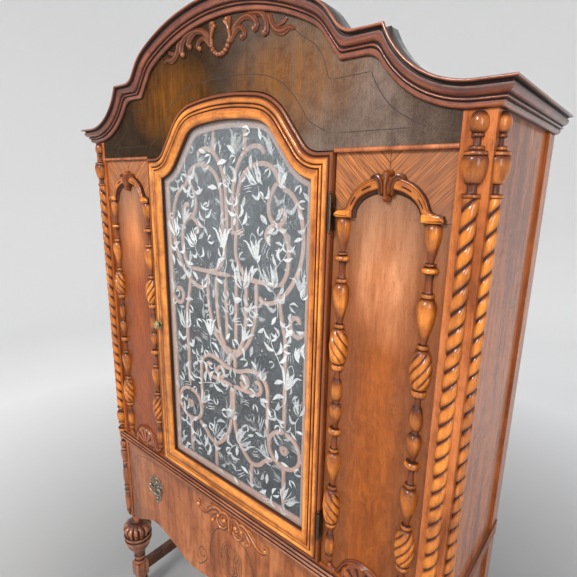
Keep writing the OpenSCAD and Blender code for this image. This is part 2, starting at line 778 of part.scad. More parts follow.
// Stretchers: one along each side and one across the middle
stretcher_z = floor_z + foot_h + (block_h - stretcher_h) / 2;
leg_back_y = post_w / 2 + block_w / 2;
module side_stretcher(side) {
    color(dark_walnut)
    in_place() mirror([side < 0 ? 1 : 0, 0, 0])
        block([post_mid_x - stretcher_t / 2, leg_back_y, stretcher_z],
            [post_mid_x + stretcher_t / 2, rear_post_y, stretcher_z + stretcher_h]);
}
module cross_stretcher() {
    mid_y = (leg_back_y + rear_post_y) / 2;
    color(dark_walnut)
    in_place() block([-post_mid_x + stretcher_t / 2, mid_y - stretcher_t / 2, stretcher_z],
        [post_mid_x - stretcher_t / 2, mid_y + stretcher_t / 2, stretcher_z + stretcher_h]);
}

// Drawer box sizes, and what carries and guides the box
drawer_face_y = 1;
box_x = post_in_x - 12;
box_top_z = drawer_top_z - 8;
box_foot_z = box_top_z - box_h;
module drawer_runners() {
    color(inside_walnut)
    in_place() both_sides() {
        block([box_x - box_t - 2, post_w, box_foot_z - run_gap - runner_t],
            [side_in_x, rear_post_y, box_foot_z - run_gap]);
        block([box_x + run_gap, post_w, box_foot_z - run_gap],
            [side_in_x, rear_post_y, box_foot_z + runner_t]);
        block([box_x - box_t - 2, post_w, box_top_z + run_gap],
            [side_in_x, rear_post_y, -display_h - board_t]);
    }
}

// Lower edge of the drawer front as eased steps between its named heights
drawer_half = post_in_x - drawer_gap;
edge_keys = [[0, middle_h], [lobe_x, lobe_h], [hollow_x, hollow_h], [drawer_half, ear_h]];
function eased(k, t) =
    let (a = edge_keys[k], b = edge_keys[k + 1], s = (1 - cos(180 * t)) / 2)
    [a[0] + (b[0] - a[0]) * t, -(a[1] + (b[1] - a[1]) * s)];
half_edge = concat(
    [for (k = [0 : len(edge_keys) - 2]) for (i = [0 : 7]) eased(k, i / 8)],
    [[drawer_half, -ear_h]]);
module drawer_front() {
    color(panel_walnut)
    in_place() translate([0, 0, drawer_top_z]) plate(drawer_face_y, drawer_face_y + drawer_front_t)
        polygon(concat(whole(half_edge), [[drawer_half, 0], [-drawer_half, 0]]));
}
box_front_y = drawer_face_y + drawer_front_t;
module drawer_sides() {
    color(inside_walnut)
    in_place() both_sides()
        block([box_x - box_t, box_front_y, box_foot_z], [box_x, box_back_y, box_top_z]);
}
module drawer_back() {
    color(inside_walnut)
    in_place() block([-box_x + box_t, box_back_y - box_t, box_foot_z + 10],
        [box_x - box_t, box_back_y, box_top_z - 6]);
}
module drawer_bottom() {
    color(inside_walnut)
    in_place() block([-box_x + box_t, box_front_y, box_foot_z + 10 - bottom_t],
        [box_x - box_t, box_back_y, box_foot_z + 10]);
}

// Door stop: a rebated strip on the back of the left panel, behind the door's edge
module door_stop() {
    door_back_y = door_t - door_out;
    stop_x = -jamb_x + door_gap + 10;
    color(panel_walnut)
    in_place() {
        block([-jamb_x - 26, panel_in + panel_t, -display_h], [stop_x, panel_in + panel_t + 8, 0]);
        block([-jamb_x, door_back_y + run_gap, -display_h], [stop_x, panel_in + panel_t, 0]);
    }
}

// Members of the door frame from its outer edge inwards: start, and depth of its face
frame_section = [[0, 1], [8, -1.5], [13, 1.5], [15, -2], [19, -4], [30, -2], [35, 1.5],
    [37, -0.5], [41, 3]];
glass_y = 10;
glass_edge = frame_w - glass_lap;
module frame_ring(from, to) {
    difference() {
        door_shape(from, door_foot_z + from);
        door_shape(to, door_foot_z + to);
    }
}
// The part of the door that lies between its mitres
module mitre_zone(piece) {
    reach = 4 * frame_w;
    top_z = arch_foot;
    low = [half_door - reach, door_foot_z + reach];
    high = [half_door - reach, top_z - reach];
    if (piece == "right")
        polygon([[half_door, door_foot_z], [half_door, top_z], high, low]);
    if (piece == "left")
        mirror([1, 0]) polygon([[half_door, door_foot_z], [half_door, top_z], high, low]);
    if (piece == "bottom")
        polygon([[-half_door, door_foot_z], [half_door, door_foot_z], low, [-low[0], low[1]]]);
    if (piece == "top")
        polygon([[half_door, top_z], [half_door, arch_top + 1], [-half_door, arch_top + 1],
            [-half_door, top_z], [-high[0], high[1]], high]);
}
module frame_piece(piece) {
    color(orange_walnut)
    in_place() difference() {
        for (k = [0 : len(frame_section) - 1]) {
            from = frame_section[k][0] * frame_w / 48;
            last = k == len(frame_section) - 1;
            to = last ? frame_w : frame_section[k + 1][0] * frame_w / 48;
            face = frame_section[k][1] - door_out;
            lap = min(to, glass_edge);
            plate(face, door_t - door_out) piece_ring(piece, from, lap);
            if (to > glass_edge)
                plate(face, glass_y) piece_ring(piece, max(from, glass_edge), to);
        }
        if (piece == "right")
            for (z = hinge_places) door_leaf_seat(z);
    }
}
module piece_ring(piece, from, to) {
    if (to > from)
        intersection() {
            frame_ring(from, to);
            mitre_zone(piece);
        }
}

module door_glass() {
    color("lightsteelblue")
    in_place() plate(glass_y, glass_y + glass_t) door_shape(glass_edge + 0.5, door_foot_z + glass_edge + 0.5);
}

// Fretwork: a border, a fluted urn on a scrolled stand, and loops above it. Places are
// given as parts of the clear width and height of the glass.
fret_y = glass_y + glass_t;
sight_x = half_door - frame_w;
sight_foot = door_foot_z + frame_w;
sight_h = arch_top - frame_w - sight_foot;
module scroll(x, z, r, a0, a1) {
    leaf([x * sight_x, sight_foot + z * sight_h], r * sight_x, a0, a1, fret_w, fret_w);
}
module bar(x0, z0, x1, z1) {
    from = [x0 * sight_x, sight_foot + z0 * sight_h];
    to = [x1 * sight_x, sight_foot + z1 * sight_h];
    translate(from) rotate(atan2(to[1] - from[1], to[0] - from[0]))
        translate([-fret_w / 2, -fret_w / 2]) square([norm(to - from) + fret_w, fret_w]);
}
module fret_half() {
    // loops over the urn
    scroll(0.47, 0.823, 0.33, -70, 180);
    scroll(0.60, 0.785, 0.12, -30, 250);
    scroll(0.33, 0.865, 0.27, 60, 180);
    bar(0.06, 0.735, 0.06, 0.865);
    bar(0.14, 0.735, 0.14, 0.823);
    bar(0, 0.735, 0.17, 0.735);
    scroll(0.44, 0.69, 0.33, 0, 360);
    // urn with its flutes and neck
    bar(0, 0.617, 0.75, 0.617);
    scroll(-0.13, 0.575, 0.47, -62, 22);
    bar(0.08, 0.617, 0.08, 0.45);
    bar(0.18, 0.617, 0.18, 0.475);
    bar(0, 0.44, 0.09, 0.44);
    bar(0, 0.35, 0, 0.44);
    // stand, and the scrolls beside it
    bar(0, 0.35, 0.55, 0.35);
    scroll(0.30, 0.345, 0.18, 20, 160);
    bar(0.55, 0.35, 0.55, 0.215);
    scroll(0.72, 0.212, 0.17, -130, 180);
    bar(0.75, 0.617, 0.75, 0);
    bar(0, 0.16, 0, 0.35);
    scroll(0.67, 0.18, 0.67, 180, 243);
    scroll(0.86, 0.54, 0.09, 0, 360);
}
module door_fretwork() {
    color("rosybrown")
    in_place() plate(fret_y, fret_y + fret_t) {
        frame_ring(glass_edge + 0.5, frame_w + 1.7 * fret_w);
        intersection() {
            door_shape(frame_w, door_foot_z + frame_w);
            both_sides() fret_half();
        }
    }
}
module glazing_beads() {
    color(orange_walnut)
    in_place() plate(fret_y + fret_t, door_t - door_out)
        frame_ring(glass_edge + 0.5, glass_edge + bead_w);
}

// Knob on the middle of the left stile, over an oval rose
module door_knob() {
    knob_z = -display_h + knob_up;
    rose_y = frame_section[4][1] - door_out;
    color(brass)
    in_place() translate([-half_door + frame_w * 0.52, rose_y, knob_z]) rotate([90, 0, 0]) {
        rotate_extrude($fn = 40) polygon([[0, 0], [knob_r * 0.6, 0], [knob_r * 0.35, 3],
            [knob_r * 0.35, knob_out * 0.3], [knob_r * 0.8, knob_out * 0.42], [knob_r, knob_out * 0.6],
            [knob_r * 0.9, knob_out * 0.82], [knob_r * 0.5, knob_out * 0.97], [0, knob_out]]);
        linear_extrude(1.5) {
            circle(r = knob_r * 1.1, $fn = 40);
            for (s = [-1, 1]) translate([0, s * knob_r * 1.3]) circle(r = knob_r * 0.7, $fn = 32);
        }
    }
}

// Hinges: five knuckles on a fixed pin; three belong to the case and two to the door
hinge_places = [-hinge_in, door_foot_z + hinge_in];
pin_x = half_door + door_gap / 2;
knuckles = 5;
knuckle_l = hinge_l / knuckles;
leaf_d = 26;
leaf_air = 0.2;
function leaf_x(side) = side < 0 ? pin_x - door_gap / 2 + leaf_air - leaf_t : pin_x + door_gap / 2 - leaf_air;
module knuckle_row(z, side) {
    first = side > 0 ? 0 : 1;
    for (k = [first : 2 : knuckles - 1])
        translate([pin_x, -pin_out, z - hinge_l / 2 + k * knuckle_l]) {
            difference() {
                union() {
                    translate([0, 0, leaf_air]) cylinder(h = knuckle_l - 2 * leaf_air, r = knuckle_r, $fn = 40);
                    block([leaf_x(side) - pin_x, 0, leaf_air],
                        [leaf_x(side) - pin_x + leaf_t, knuckle_r + 1.4, knuckle_l - leaf_air]);
                }
                if (side < 0)
                    translate([0, 0, -1]) cylinder(h = knuckle_l + 2, r = pin_r + pin_fit, $fn = 40);
            }
        }
    block([leaf_x(side), -pin_out + knuckle_r + 0.8, z - hinge_l / 2],
        [leaf_x(side) + leaf_t, leaf_back_y, z + hinge_l / 2]);
}
leaf_back_y = -pin_out + knuckle_r + leaf_d - 6;
module case_leaf_seat(z) {
    block([leaf_x(1) - 1, 0, z - hinge_l / 2], [leaf_x(1) + leaf_t, leaf_back_y, z + hinge_l / 2]);
}
module door_leaf_seat(z) {
    block([leaf_x(-1), -2 * pin_out, z - hinge_l / 2], [leaf_x(-1) + 2 * leaf_t, leaf_back_y, z + hinge_l / 2]);
}
screw_fit = 0.15;
module screw(z, side, r) {
    head_x = side > 0 ? leaf_x(1) - 0.5 : leaf_x(-1) + leaf_t + 0.5;
    for (s = [-1, 1])
        translate([head_x, panel_in + 4, z + s * hinge_l / 3])
            rotate([0, side * 90, 0]) cylinder(h = screw_l, r = r, $fn = 24);
}
module leaf_with_holes(z, side) {
    difference() {
        knuckle_row(z, side);
        screw(z, side, screw_r + screw_fit);
    }
}
module case_hinge_leaves() {
    color(brass)
    in_place() for (z = hinge_places) {
        leaf_with_holes(z, 1);
        translate([pin_x, -pin_out, z - hinge_l / 2 - 3]) cylinder(h = hinge_l + 6, r = pin_r, $fn = 40);
        for (s = [-1, 1])
            translate([pin_x, -pin_out, z + s * (hinge_l / 2 + 3)]) sphere(r = pin_r * 1.7, $fn = 32);
    }
}
module door_hinge_leaves() {
    color(brass)
    in_place() for (z = hinge_places) leaf_with_holes(z, -1);
}
module hinge_screws(side) {
    color(brass)
    in_place() for (z = hinge_places) screw(z, side, screw_r);
}

// Pulls: a cartouche plate with two posts, and a bail that hangs from them
module pull_plates() {
    pivot_z = drawer_top_z - pull_down;
    color(brass)
    in_place() for (s = [-1, 1]) translate([s * pull_x, drawer_face_y, pivot_z]) {
        plate(-plate_t, 0) {
            circle(r = plate_w / 3.2, $fn = 40);
            for (t = [-1, 1]) translate([t * pull_half, 0]) circle(r = plate_w / 2 - pull_half, $fn = 32);
            translate([0, -plate_h / 2]) circle(r = plate_h / 5, $fn = 32);
            polygon([[-plate_w / 5, 0], [plate_w / 5, 0], [plate_w / 8, -plate_h / 2], [-plate_w / 8, -plate_h / 2]]);
            translate([0, plate_h / 4]) circle(r = plate_h / 7, $fn = 32);
        }
        for (t = [-1, 1]) difference() {
            translate([t * pull_half, 0, 0]) rotate([90, 0, 0])
                cylinder(h = plate_t + bail_out + pull_post_r, r = pull_post_r, $fn = 32);
            translate([t * pull_half - 2 * pull_post_r, -plate_t - bail_out, 0]) rotate([0, 90, 0])
                cylinder(h = 4 * pull_post_r, r = bail_pin_r + pin_fit, $fn = 32);
        }
    }
}
arm_x = pull_half + pull_post_r + bail_r + 0.6;
module bail(side) {
    pivot_z = drawer_top_z - pull_down;
    color(brass)
    in_place() translate([side * pull_x, drawer_face_y - plate_t - bail_out, pivot_z]) {
        both_sides() {
            translate([pull_half - pull_post_r + 1, 0, 0]) rotate([0, 90, 0])
                cylinder(h = arm_x - pull_half + pull_post_r - 1, r = bail_pin_r, $fn = 32);
            translate([arm_x, 0, 0]) sphere(r = bail_r, $fn = 32);
            translate([arm_x, 0, -bail_arm]) cylinder(h = bail_arm, r = bail_r, $fn = 32);
        }
        intersection() {
            translate([0, 0, -bail_arm]) rotate([90, 0, 0])
                rotate_extrude($fn = 64) translate([arm_x, 0]) circle(r = bail_r, $fn = 32);
            block([-2 * arm_x, -2 * bail_r, -bail_arm - 2 * arm_x], [2 * arm_x, 2 * bail_r, -bail_arm]);
        }
    }
}

front_post(-1);  // left_front_post
front_post(1);  // right_front_post
rear_post(-1);  // left_rear_post
rear_post(1);  // right_rear_post
side_panel(-1);  // left_side_panel
side_panel(1);  // right_side_panel
lower_side_panels();
back_panel();
lower_back_rail();
case_floor();
waist_rail();
top_board();
hood();
shelf(2);  // upper_shelf
shelf(1);  // middle_shelf
shelf(0);  // lower_shelf
shelf_cleats();
front_panel(-1);  // left_front_panel
front_panel(1);  // right_front_panel
frieze_board();
crown_moulding();
crown_returns();
frieze_beads();
waist_moulding();
rope_column(-1);  // left_rope_column
rope_column(1);  // right_rope_column
side_rope_columns();
panel_turnings(-1);  // left_panel_turnings
panel_turnings(1);  // right_panel_turnings
panel_arches();
panel_shells();
frieze_carving();
lower_turnings();
front_leg(-1);  // left_front_leg
front_leg(1);  // right_front_leg
side_stretcher(-1);  // left_side_stretcher
side_stretcher(1);  // right_side_stretcher
cross_stretcher();
drawer_runners();
door_stop();
case_hinge_leaves();
hinge_screws(1);  // case_hinge_screws
frame_piece("left");  // door_left_stile
frame_piece("right");  // door_right_stile
frame_piece("bottom");  // door_bottom_rail
frame_piece("top");  // door_top_rail
door_glass();
door_fretwork();
glazing_beads();
door_knob();
door_hinge_leaves();
hinge_screws(-1);  // door_hinge_screws
drawer_front();
drawer_sides();
drawer_back();
drawer_bottom();
drawer_carving();
pull_plates();
bail(-1);  // left_bail
bail(1);  // right_bail
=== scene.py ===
"""Looks of the china cabinet: turned, carved and moulded pieces, finishes and studio."""
import math

import bmesh
import bpy
import numpy as np
from bpy.props import FloatProperty, FloatVectorProperty, IntProperty, PointerProperty
from mathutils import Matrix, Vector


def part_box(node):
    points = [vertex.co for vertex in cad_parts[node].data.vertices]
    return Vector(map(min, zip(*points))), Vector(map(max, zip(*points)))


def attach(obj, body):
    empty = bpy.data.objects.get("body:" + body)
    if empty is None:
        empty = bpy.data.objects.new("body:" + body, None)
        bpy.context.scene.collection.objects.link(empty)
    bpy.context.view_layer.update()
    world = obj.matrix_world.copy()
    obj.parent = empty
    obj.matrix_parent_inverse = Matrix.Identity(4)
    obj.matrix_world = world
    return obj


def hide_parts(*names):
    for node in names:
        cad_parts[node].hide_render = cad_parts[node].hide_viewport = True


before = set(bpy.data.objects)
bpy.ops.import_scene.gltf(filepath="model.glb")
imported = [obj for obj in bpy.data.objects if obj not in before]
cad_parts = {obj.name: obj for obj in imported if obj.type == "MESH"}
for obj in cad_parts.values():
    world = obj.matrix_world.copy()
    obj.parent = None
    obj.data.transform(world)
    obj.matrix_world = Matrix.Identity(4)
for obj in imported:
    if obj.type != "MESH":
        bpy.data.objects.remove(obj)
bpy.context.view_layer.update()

bl_info = {
    "name": "China Cabinet Pieces",
    "version": (1, 0, 0),
    "blender": (4, 5, 0),
    "location": "View3D > Sidebar > Cabinet",
    "description": "Turned, carved and moulded pieces, finishes and studio for the china cabinet",
    "category": "Object",
}

# Pieces are worked out in millimetres: X from the middle, Y back from the front face of the
# posts, Z up from the bead line under the frieze
FACE_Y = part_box("left_front_post")[0].y * 1000
BEAD_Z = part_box("left_front_panel")[1].z * 1000
HALF_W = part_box("right_front_post")[1].x * 1000
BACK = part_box("crown_returns")[1].y * 1000 - FACE_Y
# Heights
CROWN_END = 82
CREST_MID = 219
ARCH_FOOT = -103
DOOR_FOOT = -820
CASE_FOOT = -822
WAIST_FOOT = -855
PULL_Z = -940
POST_FOOT = -1138
# Distances from the middle, and half the thickness of a post
PULL_X = 325
DOOR_HALF = 271
PANEL_MID = 371.5
POST_MID, POST_HALF = 498, 22
# Depths of the fronts of the panels and the drawer
PANEL_FACE = 6
DRAWER_FACE = 1
# Where lines end that run past the cabinet
FAR = 900
BOTH = (-1, 1)
SIDES = (("left", -1), ("right", 1))
TAU = 2 * math.pi
SHARP_ANGLE = math.radians(38)


# Sizes and colours that a user would change

def length(label, text, value):
    return FloatProperty(name=label, description=text, default=value, unit="LENGTH",
        subtype="DISTANCE", precision=4, min=0.0)


def colour(label, text, value):
    return FloatVectorProperty(name=label, description=text, default=value, subtype="COLOR",
        size=3, min=0.0, max=1.0)


class CABINET_PG_sizes(bpy.types.PropertyGroup):
    rope_pitch: length("Rope Pitch", "Height between two grooves of a rope column", 0.0300)
    rope_radius: length("Rope Radius", "Radius of a rope column's shaft", 0.0115)
    rope_depth: FloatProperty(name="Rope Depth", default=0.34, subtype="FACTOR", min=0.0, max=0.5,
        description="Depth of a rope groove, as a part of the radius")
    gadroons: IntProperty(name="Gadroons", default=14, min=6, max=30,
        description="Lobes round each melon bulb")
    relief: length("Carving Relief", "How far the carvings stand out", 0.0080)
    line_width: length("Line Width", "Width of the incised lines", 0.0017)
    fret_width: length("Fretwork Width", "Width of the fretwork's strips", 0.0095)
    print_line: FloatProperty(name="Print Line", default=1.3, subtype="FACTOR", min=0.2, max=2.0,
        description="Width of the printed strokes, as a part of the drawn one")
    print_spacing: length("Print Spacing", "Distance between two printed flowers", 0.0920)
    print_seed: IntProperty(name="Print Seed", default=11, min=0,
        description="Seed of the flowers' places")


class CABINET_PG_colours(bpy.types.PropertyGroup):
    orange: colour("Orange Walnut", "Arches, columns and turnings", (0.60, 0.200, 0.022))
    door: colour("Door Walnut", "Door frame", (0.76, 0.295, 0.048))
    crown: colour("Crown Walnut", "Crown moulding", (0.40, 0.130, 0.048))
    panel: colour("Panel Walnut", "Posts, panels and drawer", (0.39, 0.118, 0.032))
    crest: colour("Crest Walnut", "Carving on the drawer", (0.62, 0.235, 0.065))
    frieze: colour("Frieze Walnut", "Warm clouds in the frieze", (0.22, 0.080, 0.007))
    dark: colour("Dark Walnut", "Legs, waist and stretchers", (0.200, 0.070, 0.024))
    inside: colour("Inside Walnut", "Unseen boards and the drawer box", (0.045, 0.035, 0.030))
    # Old polish in pores and joints, and painted shade in the deepest hollows
    stain_and_shade: colour("Stain", "Old polish in the hollows", (0.014, 0.007, 0.005))
    brass: colour("Brass", "Knob", (0.60, 0.46, 0.22))
    pulls: colour("Pull Brass", "Drawer pulls", (0.46, 0.41, 0.32))
    bronze: colour("Bronze", "Hinges and their screws", (0.11, 0.085, 0.06))
    glass: colour("Glass", "Tint of the glass", (0.20, 0.225, 0.245))
    fret: colour("Fretwork", "Fretwork behind the glass", (0.80, 0.51, 0.39))
    print: colour("Print", "Flowers on the glass", (0.80, 0.83, 0.84))
    floor: colour("Floor", "Studio floor and wall", (0.80, 0.80, 0.80))


# Shapes

def net(rows, columns):
    """Faces that join every point of a closed grid to its neighbours, the last column to the
    first one too, with the numbers of the grid's points."""
    index = np.arange(rows * columns).reshape(rows, columns)
    ring = np.concatenate([index, index[:, :1]], 1)
    quads = np.stack([ring[:-1, :-1], ring[1:, :-1], ring[1:, 1:], ring[:-1, 1:]], -1)
    return index, quads.reshape(-1, 4)


class Shape:
    """Gathers grids of points, in millimetres, into one mesh. Each grid is a tube, a function
    of two parameters: faces join every point to its neighbours, the last column joins the
    first, and both ends are capped. Where the faces enclose a negative volume they are turned
    round, so all of them point outwards."""

    def __init__(self, name):
        self.name = name
        self.points, self.grain, self.hollow, self.faces = [], [], [], []
        self.count = 0

    def grid(self, p, grain=None, hollow=0.0, seed=0.0):
        rows, columns = p.shape[:2]
        index, quads = net(rows, columns)
        lids = [index[0, ::-1], index[-1]]
        flat = p.reshape(-1, 3)
        c = flat - flat.mean(0)
        a, b, d, e = (c[quads[:, k]] for k in range(4))
        volume = (np.cross(a, b) * d).sum() + (np.cross(a, d) * e).sum()
        for lid in lids:
            r = c[lid]
            volume += (np.cross(np.broadcast_to(r[0], r[1:-1].shape), r[1:-1]) * r[2:]).sum()
        if volume < 0:
            quads = quads[:, ::-1]
            lids = [lid[::-1] for lid in lids]
        grain = flat if grain is None else np.broadcast_to(grain, p.shape).reshape(-1, 3)
        self.points.append(flat)
        self.grain.append(grain * 0.001 + seed)
        self.hollow.append(np.broadcast_to(hollow, (rows, columns)).reshape(-1))
        self.faces += (quads + self.count).tolist() + [(lid + self.count).tolist() for lid in lids]
        self.count += rows * columns

    def piece(self, body, slot, material, *nodes):
        """Makes the piece from the gathered points, in metres, with its grain and hollow
        attributes, and gives it its body and the CAD nodes it replaces. Its slot is not used."""
        mesh = bpy.data.meshes.new(self.name)
        points = (np.concatenate(self.points) + (0, FACE_Y, BEAD_Z)) * 0.001
        mesh.from_pydata(points.tolist(), [], self.faces)
        grain = mesh.attributes.new("grain", "FLOAT_VECTOR", "POINT")
        grain.data.foreach_set("vector", np.concatenate(self.grain).astype(np.float32).ravel())
        hollow = mesh.attributes.new("hollow", "FLOAT", "POINT")
        hollow.data.foreach_set("value", np.concatenate(self.hollow).astype(np.float32))
        work = bmesh.new()
        work.from_mesh(mesh)
        bmesh.ops.remove_doubles(work, verts=work.verts, dist=2e-6)
        bmesh.ops.dissolve_degenerate(work, edges=work.edges, dist=1e-6)
        work.to_mesh(mesh)
        work.free()
        mesh.polygons.foreach_set("use_smooth", np.ones(len(mesh.polygons), bool))
        mesh.set_sharp_from_angle(angle=SHARP_ANGLE)
        mesh.materials.append(bpy.data.materials[material])
        piece = bpy.data.objects.new(self.name, mesh)
        bpy.context.scene.collection.objects.link(piece)
        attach(piece, body)
        if nodes:
            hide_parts(*nodes)


def arc(x, z, r, start, end, n):
    """Points on a circle: centre plus radius times sine and cosine, from straight up towards
    +X, between two angles in degrees."""
    a = np.radians(np.linspace(start, end, n + 1))
    return np.stack([x + r * np.sin(a), z + r * np.cos(a)], 1)


def oval(across, high, angles, x=0, z=0):
    """Points on an oval at angles in degrees: the centre plus sine times half the width and
    cosine times half the height."""
    turns = [math.radians(angle) for angle in angles]
    return [(x + across * math.sin(a), z + high * math.cos(a)) for a in turns]


def mirrored(side, points):
    """The points themselves, or with side -1 the same in the other half."""
    return [(side * x, z) for x, z in points]


def distances(p):
    """Length of a line of points from its start to each of them."""
    return np.concatenate([[0], np.cumsum(np.linalg.norm(np.diff(p, axis=0), axis=1))])


def directions(p):
    """Unit vectors along a line of points."""
    step = np.gradient(p, axis=0)
    return step / (np.linalg.norm(step, axis=1)[:, None] + 1e-9)


def about(centre, front, a, r, z):
    """Points about an upright axis: the centre plus radius times the cosine of the angle to
    the side and times its sine to the front."""
    side = (-front[1], front[0])
    return np.stack([centre[0] + r * (np.cos(a) * side[0] + np.sin(a) * front[0]),
        centre[1] + r * (np.cos(a) * side[1] + np.sin(a) * front[1]), z + 0 * r], -1)


def half_arch(top, middle_r, middle_x, shoulder_r, slope, foot, hollow_r, offset):
    """Right half of an arch moved inwards by an offset: a flat middle arc out to middle_x, a
    shoulder arc, a straight slope, and a hollow arc into a level foot."""
    s = math.radians(slope)
    lean = math.asin(middle_x / middle_r)
    x = middle_x - shoulder_r * math.sin(lean)
    z = top - middle_r + (middle_r - shoulder_r) * math.cos(lean)
    end_x = x + (shoulder_r - offset) * math.sin(s)
    end_z = z + (shoulder_r - offset) * math.cos(s)
    hollow_z = foot - offset + hollow_r * (1 - math.cos(s))
    hollow_x = end_x + (end_z - hollow_z) / math.tan(s) + hollow_r * math.sin(s)
    return np.concatenate([
        arc(0, top - middle_r, middle_r - offset, 0, math.degrees(lean), 24),
        arc(x, z, shoulder_r - offset, math.degrees(lean), slope, 12)[1:],
        arc(hollow_x, foot - offset + hollow_r, hollow_r, 180 + slope, 180, 12)])


def crown_z(x, offset):
    """Height of the crown's line at x, moved down by an offset: the arch, a rounded step, and
    a sweep down to the level end."""
    step_x, step_z, sweep_r, drop = 362, 171, 145, CROWN_SECTION[-1][0]
    arch = half_arch(top=288, middle_r=508, middle_x=236, shoulder_r=110, slope=52, foot=step_z,
        hollow_r=45 * (1 - offset / drop) + 2, offset=offset)
    sweep_z = CROWN_END + sweep_r
    sweep_x = step_x + math.sqrt(sweep_r ** 2 - (sweep_z - step_z) ** 2)
    r, round_r = sweep_r + offset, offset + 1
    round_z = step_z - offset - round_r
    round_x = sweep_x - math.sqrt((r + round_r) ** 2 - (sweep_z - round_z) ** 2)
    turn = math.degrees(math.atan2(sweep_x - round_x, sweep_z - round_z))
    line = np.concatenate([arch, arc(round_x, round_z, round_r, 0, turn, 10),
        arc(sweep_x, sweep_z, r, 180 + turn, 180, 30), [[FAR, CROWN_END - offset]]])
    return np.interp(np.abs(x), line[:, 0], line[:, 1])


def door_z(x, offset):
    """Height of the door's line at x, moved inwards by an offset."""
    shoulder = 2
    line = np.concatenate([half_arch(top=119, middle_r=600, middle_x=98, shoulder_r=110, slope=52,
        foot=shoulder, hollow_r=40 + offset, offset=offset), [[FAR, shoulder - offset]]])
    return np.interp(np.abs(x), line[:, 0], line[:, 1])


def section(rows, steps=7):
    """A moulding's section from rows of across, out, bulge and hollow: each run to a row is a
    straight line with a parabola of that bulge laid over it, and more hollow at its ends,
    painted shade on the flanks of each rounded run."""
    flank = 0.3
    rows = np.array(rows, float)
    ends, bulges = rows[:, [0, 1, 3]], rows[:, 2]
    out = [ends[:1]]
    for start, end, bulge in zip(ends, ends[1:], bulges[1:]):
        n = steps if bulge else 1
        t = (np.arange(n) + 1)[:, None] / n
        run = start + (end - start) * t
        along = (end - start)[:2] / max(np.hypot(*(end - start)[:2]), 1e-9)
        run[:, 0:1] -= along[1] * bulge * 4 * t * (1 - t)
        run[:, 1:2] += along[0] * bulge * 4 * t * (1 - t)
        # Painted shade: more hollow on the flanks of a rounded run than on its top
        run[:, 2:3] += flank * (1 - np.sin(math.pi * t)) ** 2 if bulge else 0
        out.append(run)
    return np.concatenate(out)


def curve(points, n):
    """A curve through the points: cubic runs whose slope at a point is half the chord between
    its two neighbours."""
    p = np.asarray(points, float)
    e = np.concatenate([[2 * p[0] - p[1]], p, [2 * p[-1] - p[-2]]])
    t = np.linspace(0, len(p) - 1, n)
    i = np.minimum(t.astype(int), len(p) - 2)
    f = (t - i)[:, None]
    a, b, c, d = e[i], e[i + 1], e[i + 2], e[i + 3]
    square = 2 * a - 5 * b + 4 * c - d
    cube = 3 * b - a - 3 * c + d
    return 0.5 * (2 * b + (c - a) * f + square * f ** 2 + cube * f ** 3)


def leaf(shape, points, width, height, face, at=(0, 0), n=26, m=9, flutes=0, sides=(1,),
         sunk=0.4, dark=0.0, seed=0.0, power=2):
    """A carved stroke on an upright face. Across it, the height is half a superellipse of the
    given power, cut by cosine flutes; along it, width and height follow the given values and
    round off at both ends. It is closed by a flat back sunk in the face."""
    line = curve(points, n) + at
    t = np.linspace(0, 1, n)
    step, run = directions(line), distances(line)
    w = np.interp(t, np.linspace(0, 1, len(width)), width) / 2
    h = np.interp(t, np.linspace(0, 1, len(height)), height)
    end = np.minimum(run, run[-1] - run) / np.maximum(w, 0.2)
    cap = np.sqrt(np.clip(1 - (1 - np.clip(end, 0, 1)) ** 2, 0, 1))
    w, h = w * cap, h * cap
    u = np.sin(np.linspace(-math.pi / 2, math.pi / 2, m))
    cut = 0.5 - 0.5 * np.cos(math.pi * (u + 1) * flutes) if flutes else np.zeros(m)
    rise = (1 - np.abs(u) ** power) ** (1 / power) * (1 - 0.38 * cut)
    for side in sides:
        p = np.empty((n, m, 3))
        p[..., 0] = side * (line[:, :1] - step[:, 1:] * w[:, None] * u)
        p[..., 2] = line[:, 1:] + step[:, :1] * w[:, None] * u
        p[..., 1] = face + sunk - (h[:, None] + sunk) * rise
        grain = np.stack([w[:, None] * u, h[:, None] * rise, run[:, None] + 0 * u], -1)
        # Hollow for painted shade with old polish, in the flutes and along the stroke's foot
        tone = np.clip(cut * 0.7 + (1 - rise) ** 3 * 0.8, 0, 1) * (1 - dark) + dark
        shape.grid(p, grain, tone, seed=seed + side * 0.13)


def carved(shape, points, width, height, face, at, sides=(1,), **more):
    """A carved stroke over a low dark one that is wider: a painted shadow with old polish along its
    foot.
    """
    rim, low, fuller = 2.6, (0.4, 0.4), 1.12
    leaf(shape, points, [w + rim for w in width], low, face, at, m=5, sides=sides, dark=1.0)
    leaf(shape, points, [w * fuller for w in width], height, face, at, sides=sides, **more)


def boss(shape, x, z, r, height, face, sides=(1,), n=20, m=7, dark=0.0):
    """A round knob on an upright face: radius times the cosine of the rise, height times its
    sine, closed by a flat back."""
    sunk = 0.4
    a = np.linspace(0, TAU, n, endpoint=False)
    e = np.linspace(0, math.pi / 2, m)[:, None]
    for side in sides:
        p = np.empty((m, n, 3))
        p[..., 0] = side * (x + r * np.cos(e) * np.cos(a))
        p[..., 2] = z + r * np.cos(e) * np.sin(a)
        p[..., 1] = face + sunk - (height + sunk) * np.sin(e)
        shape.grid(p, None, np.clip(1.1 - 2.2 * np.sin(e), dark, 1) * 0.8 + 0 * a)


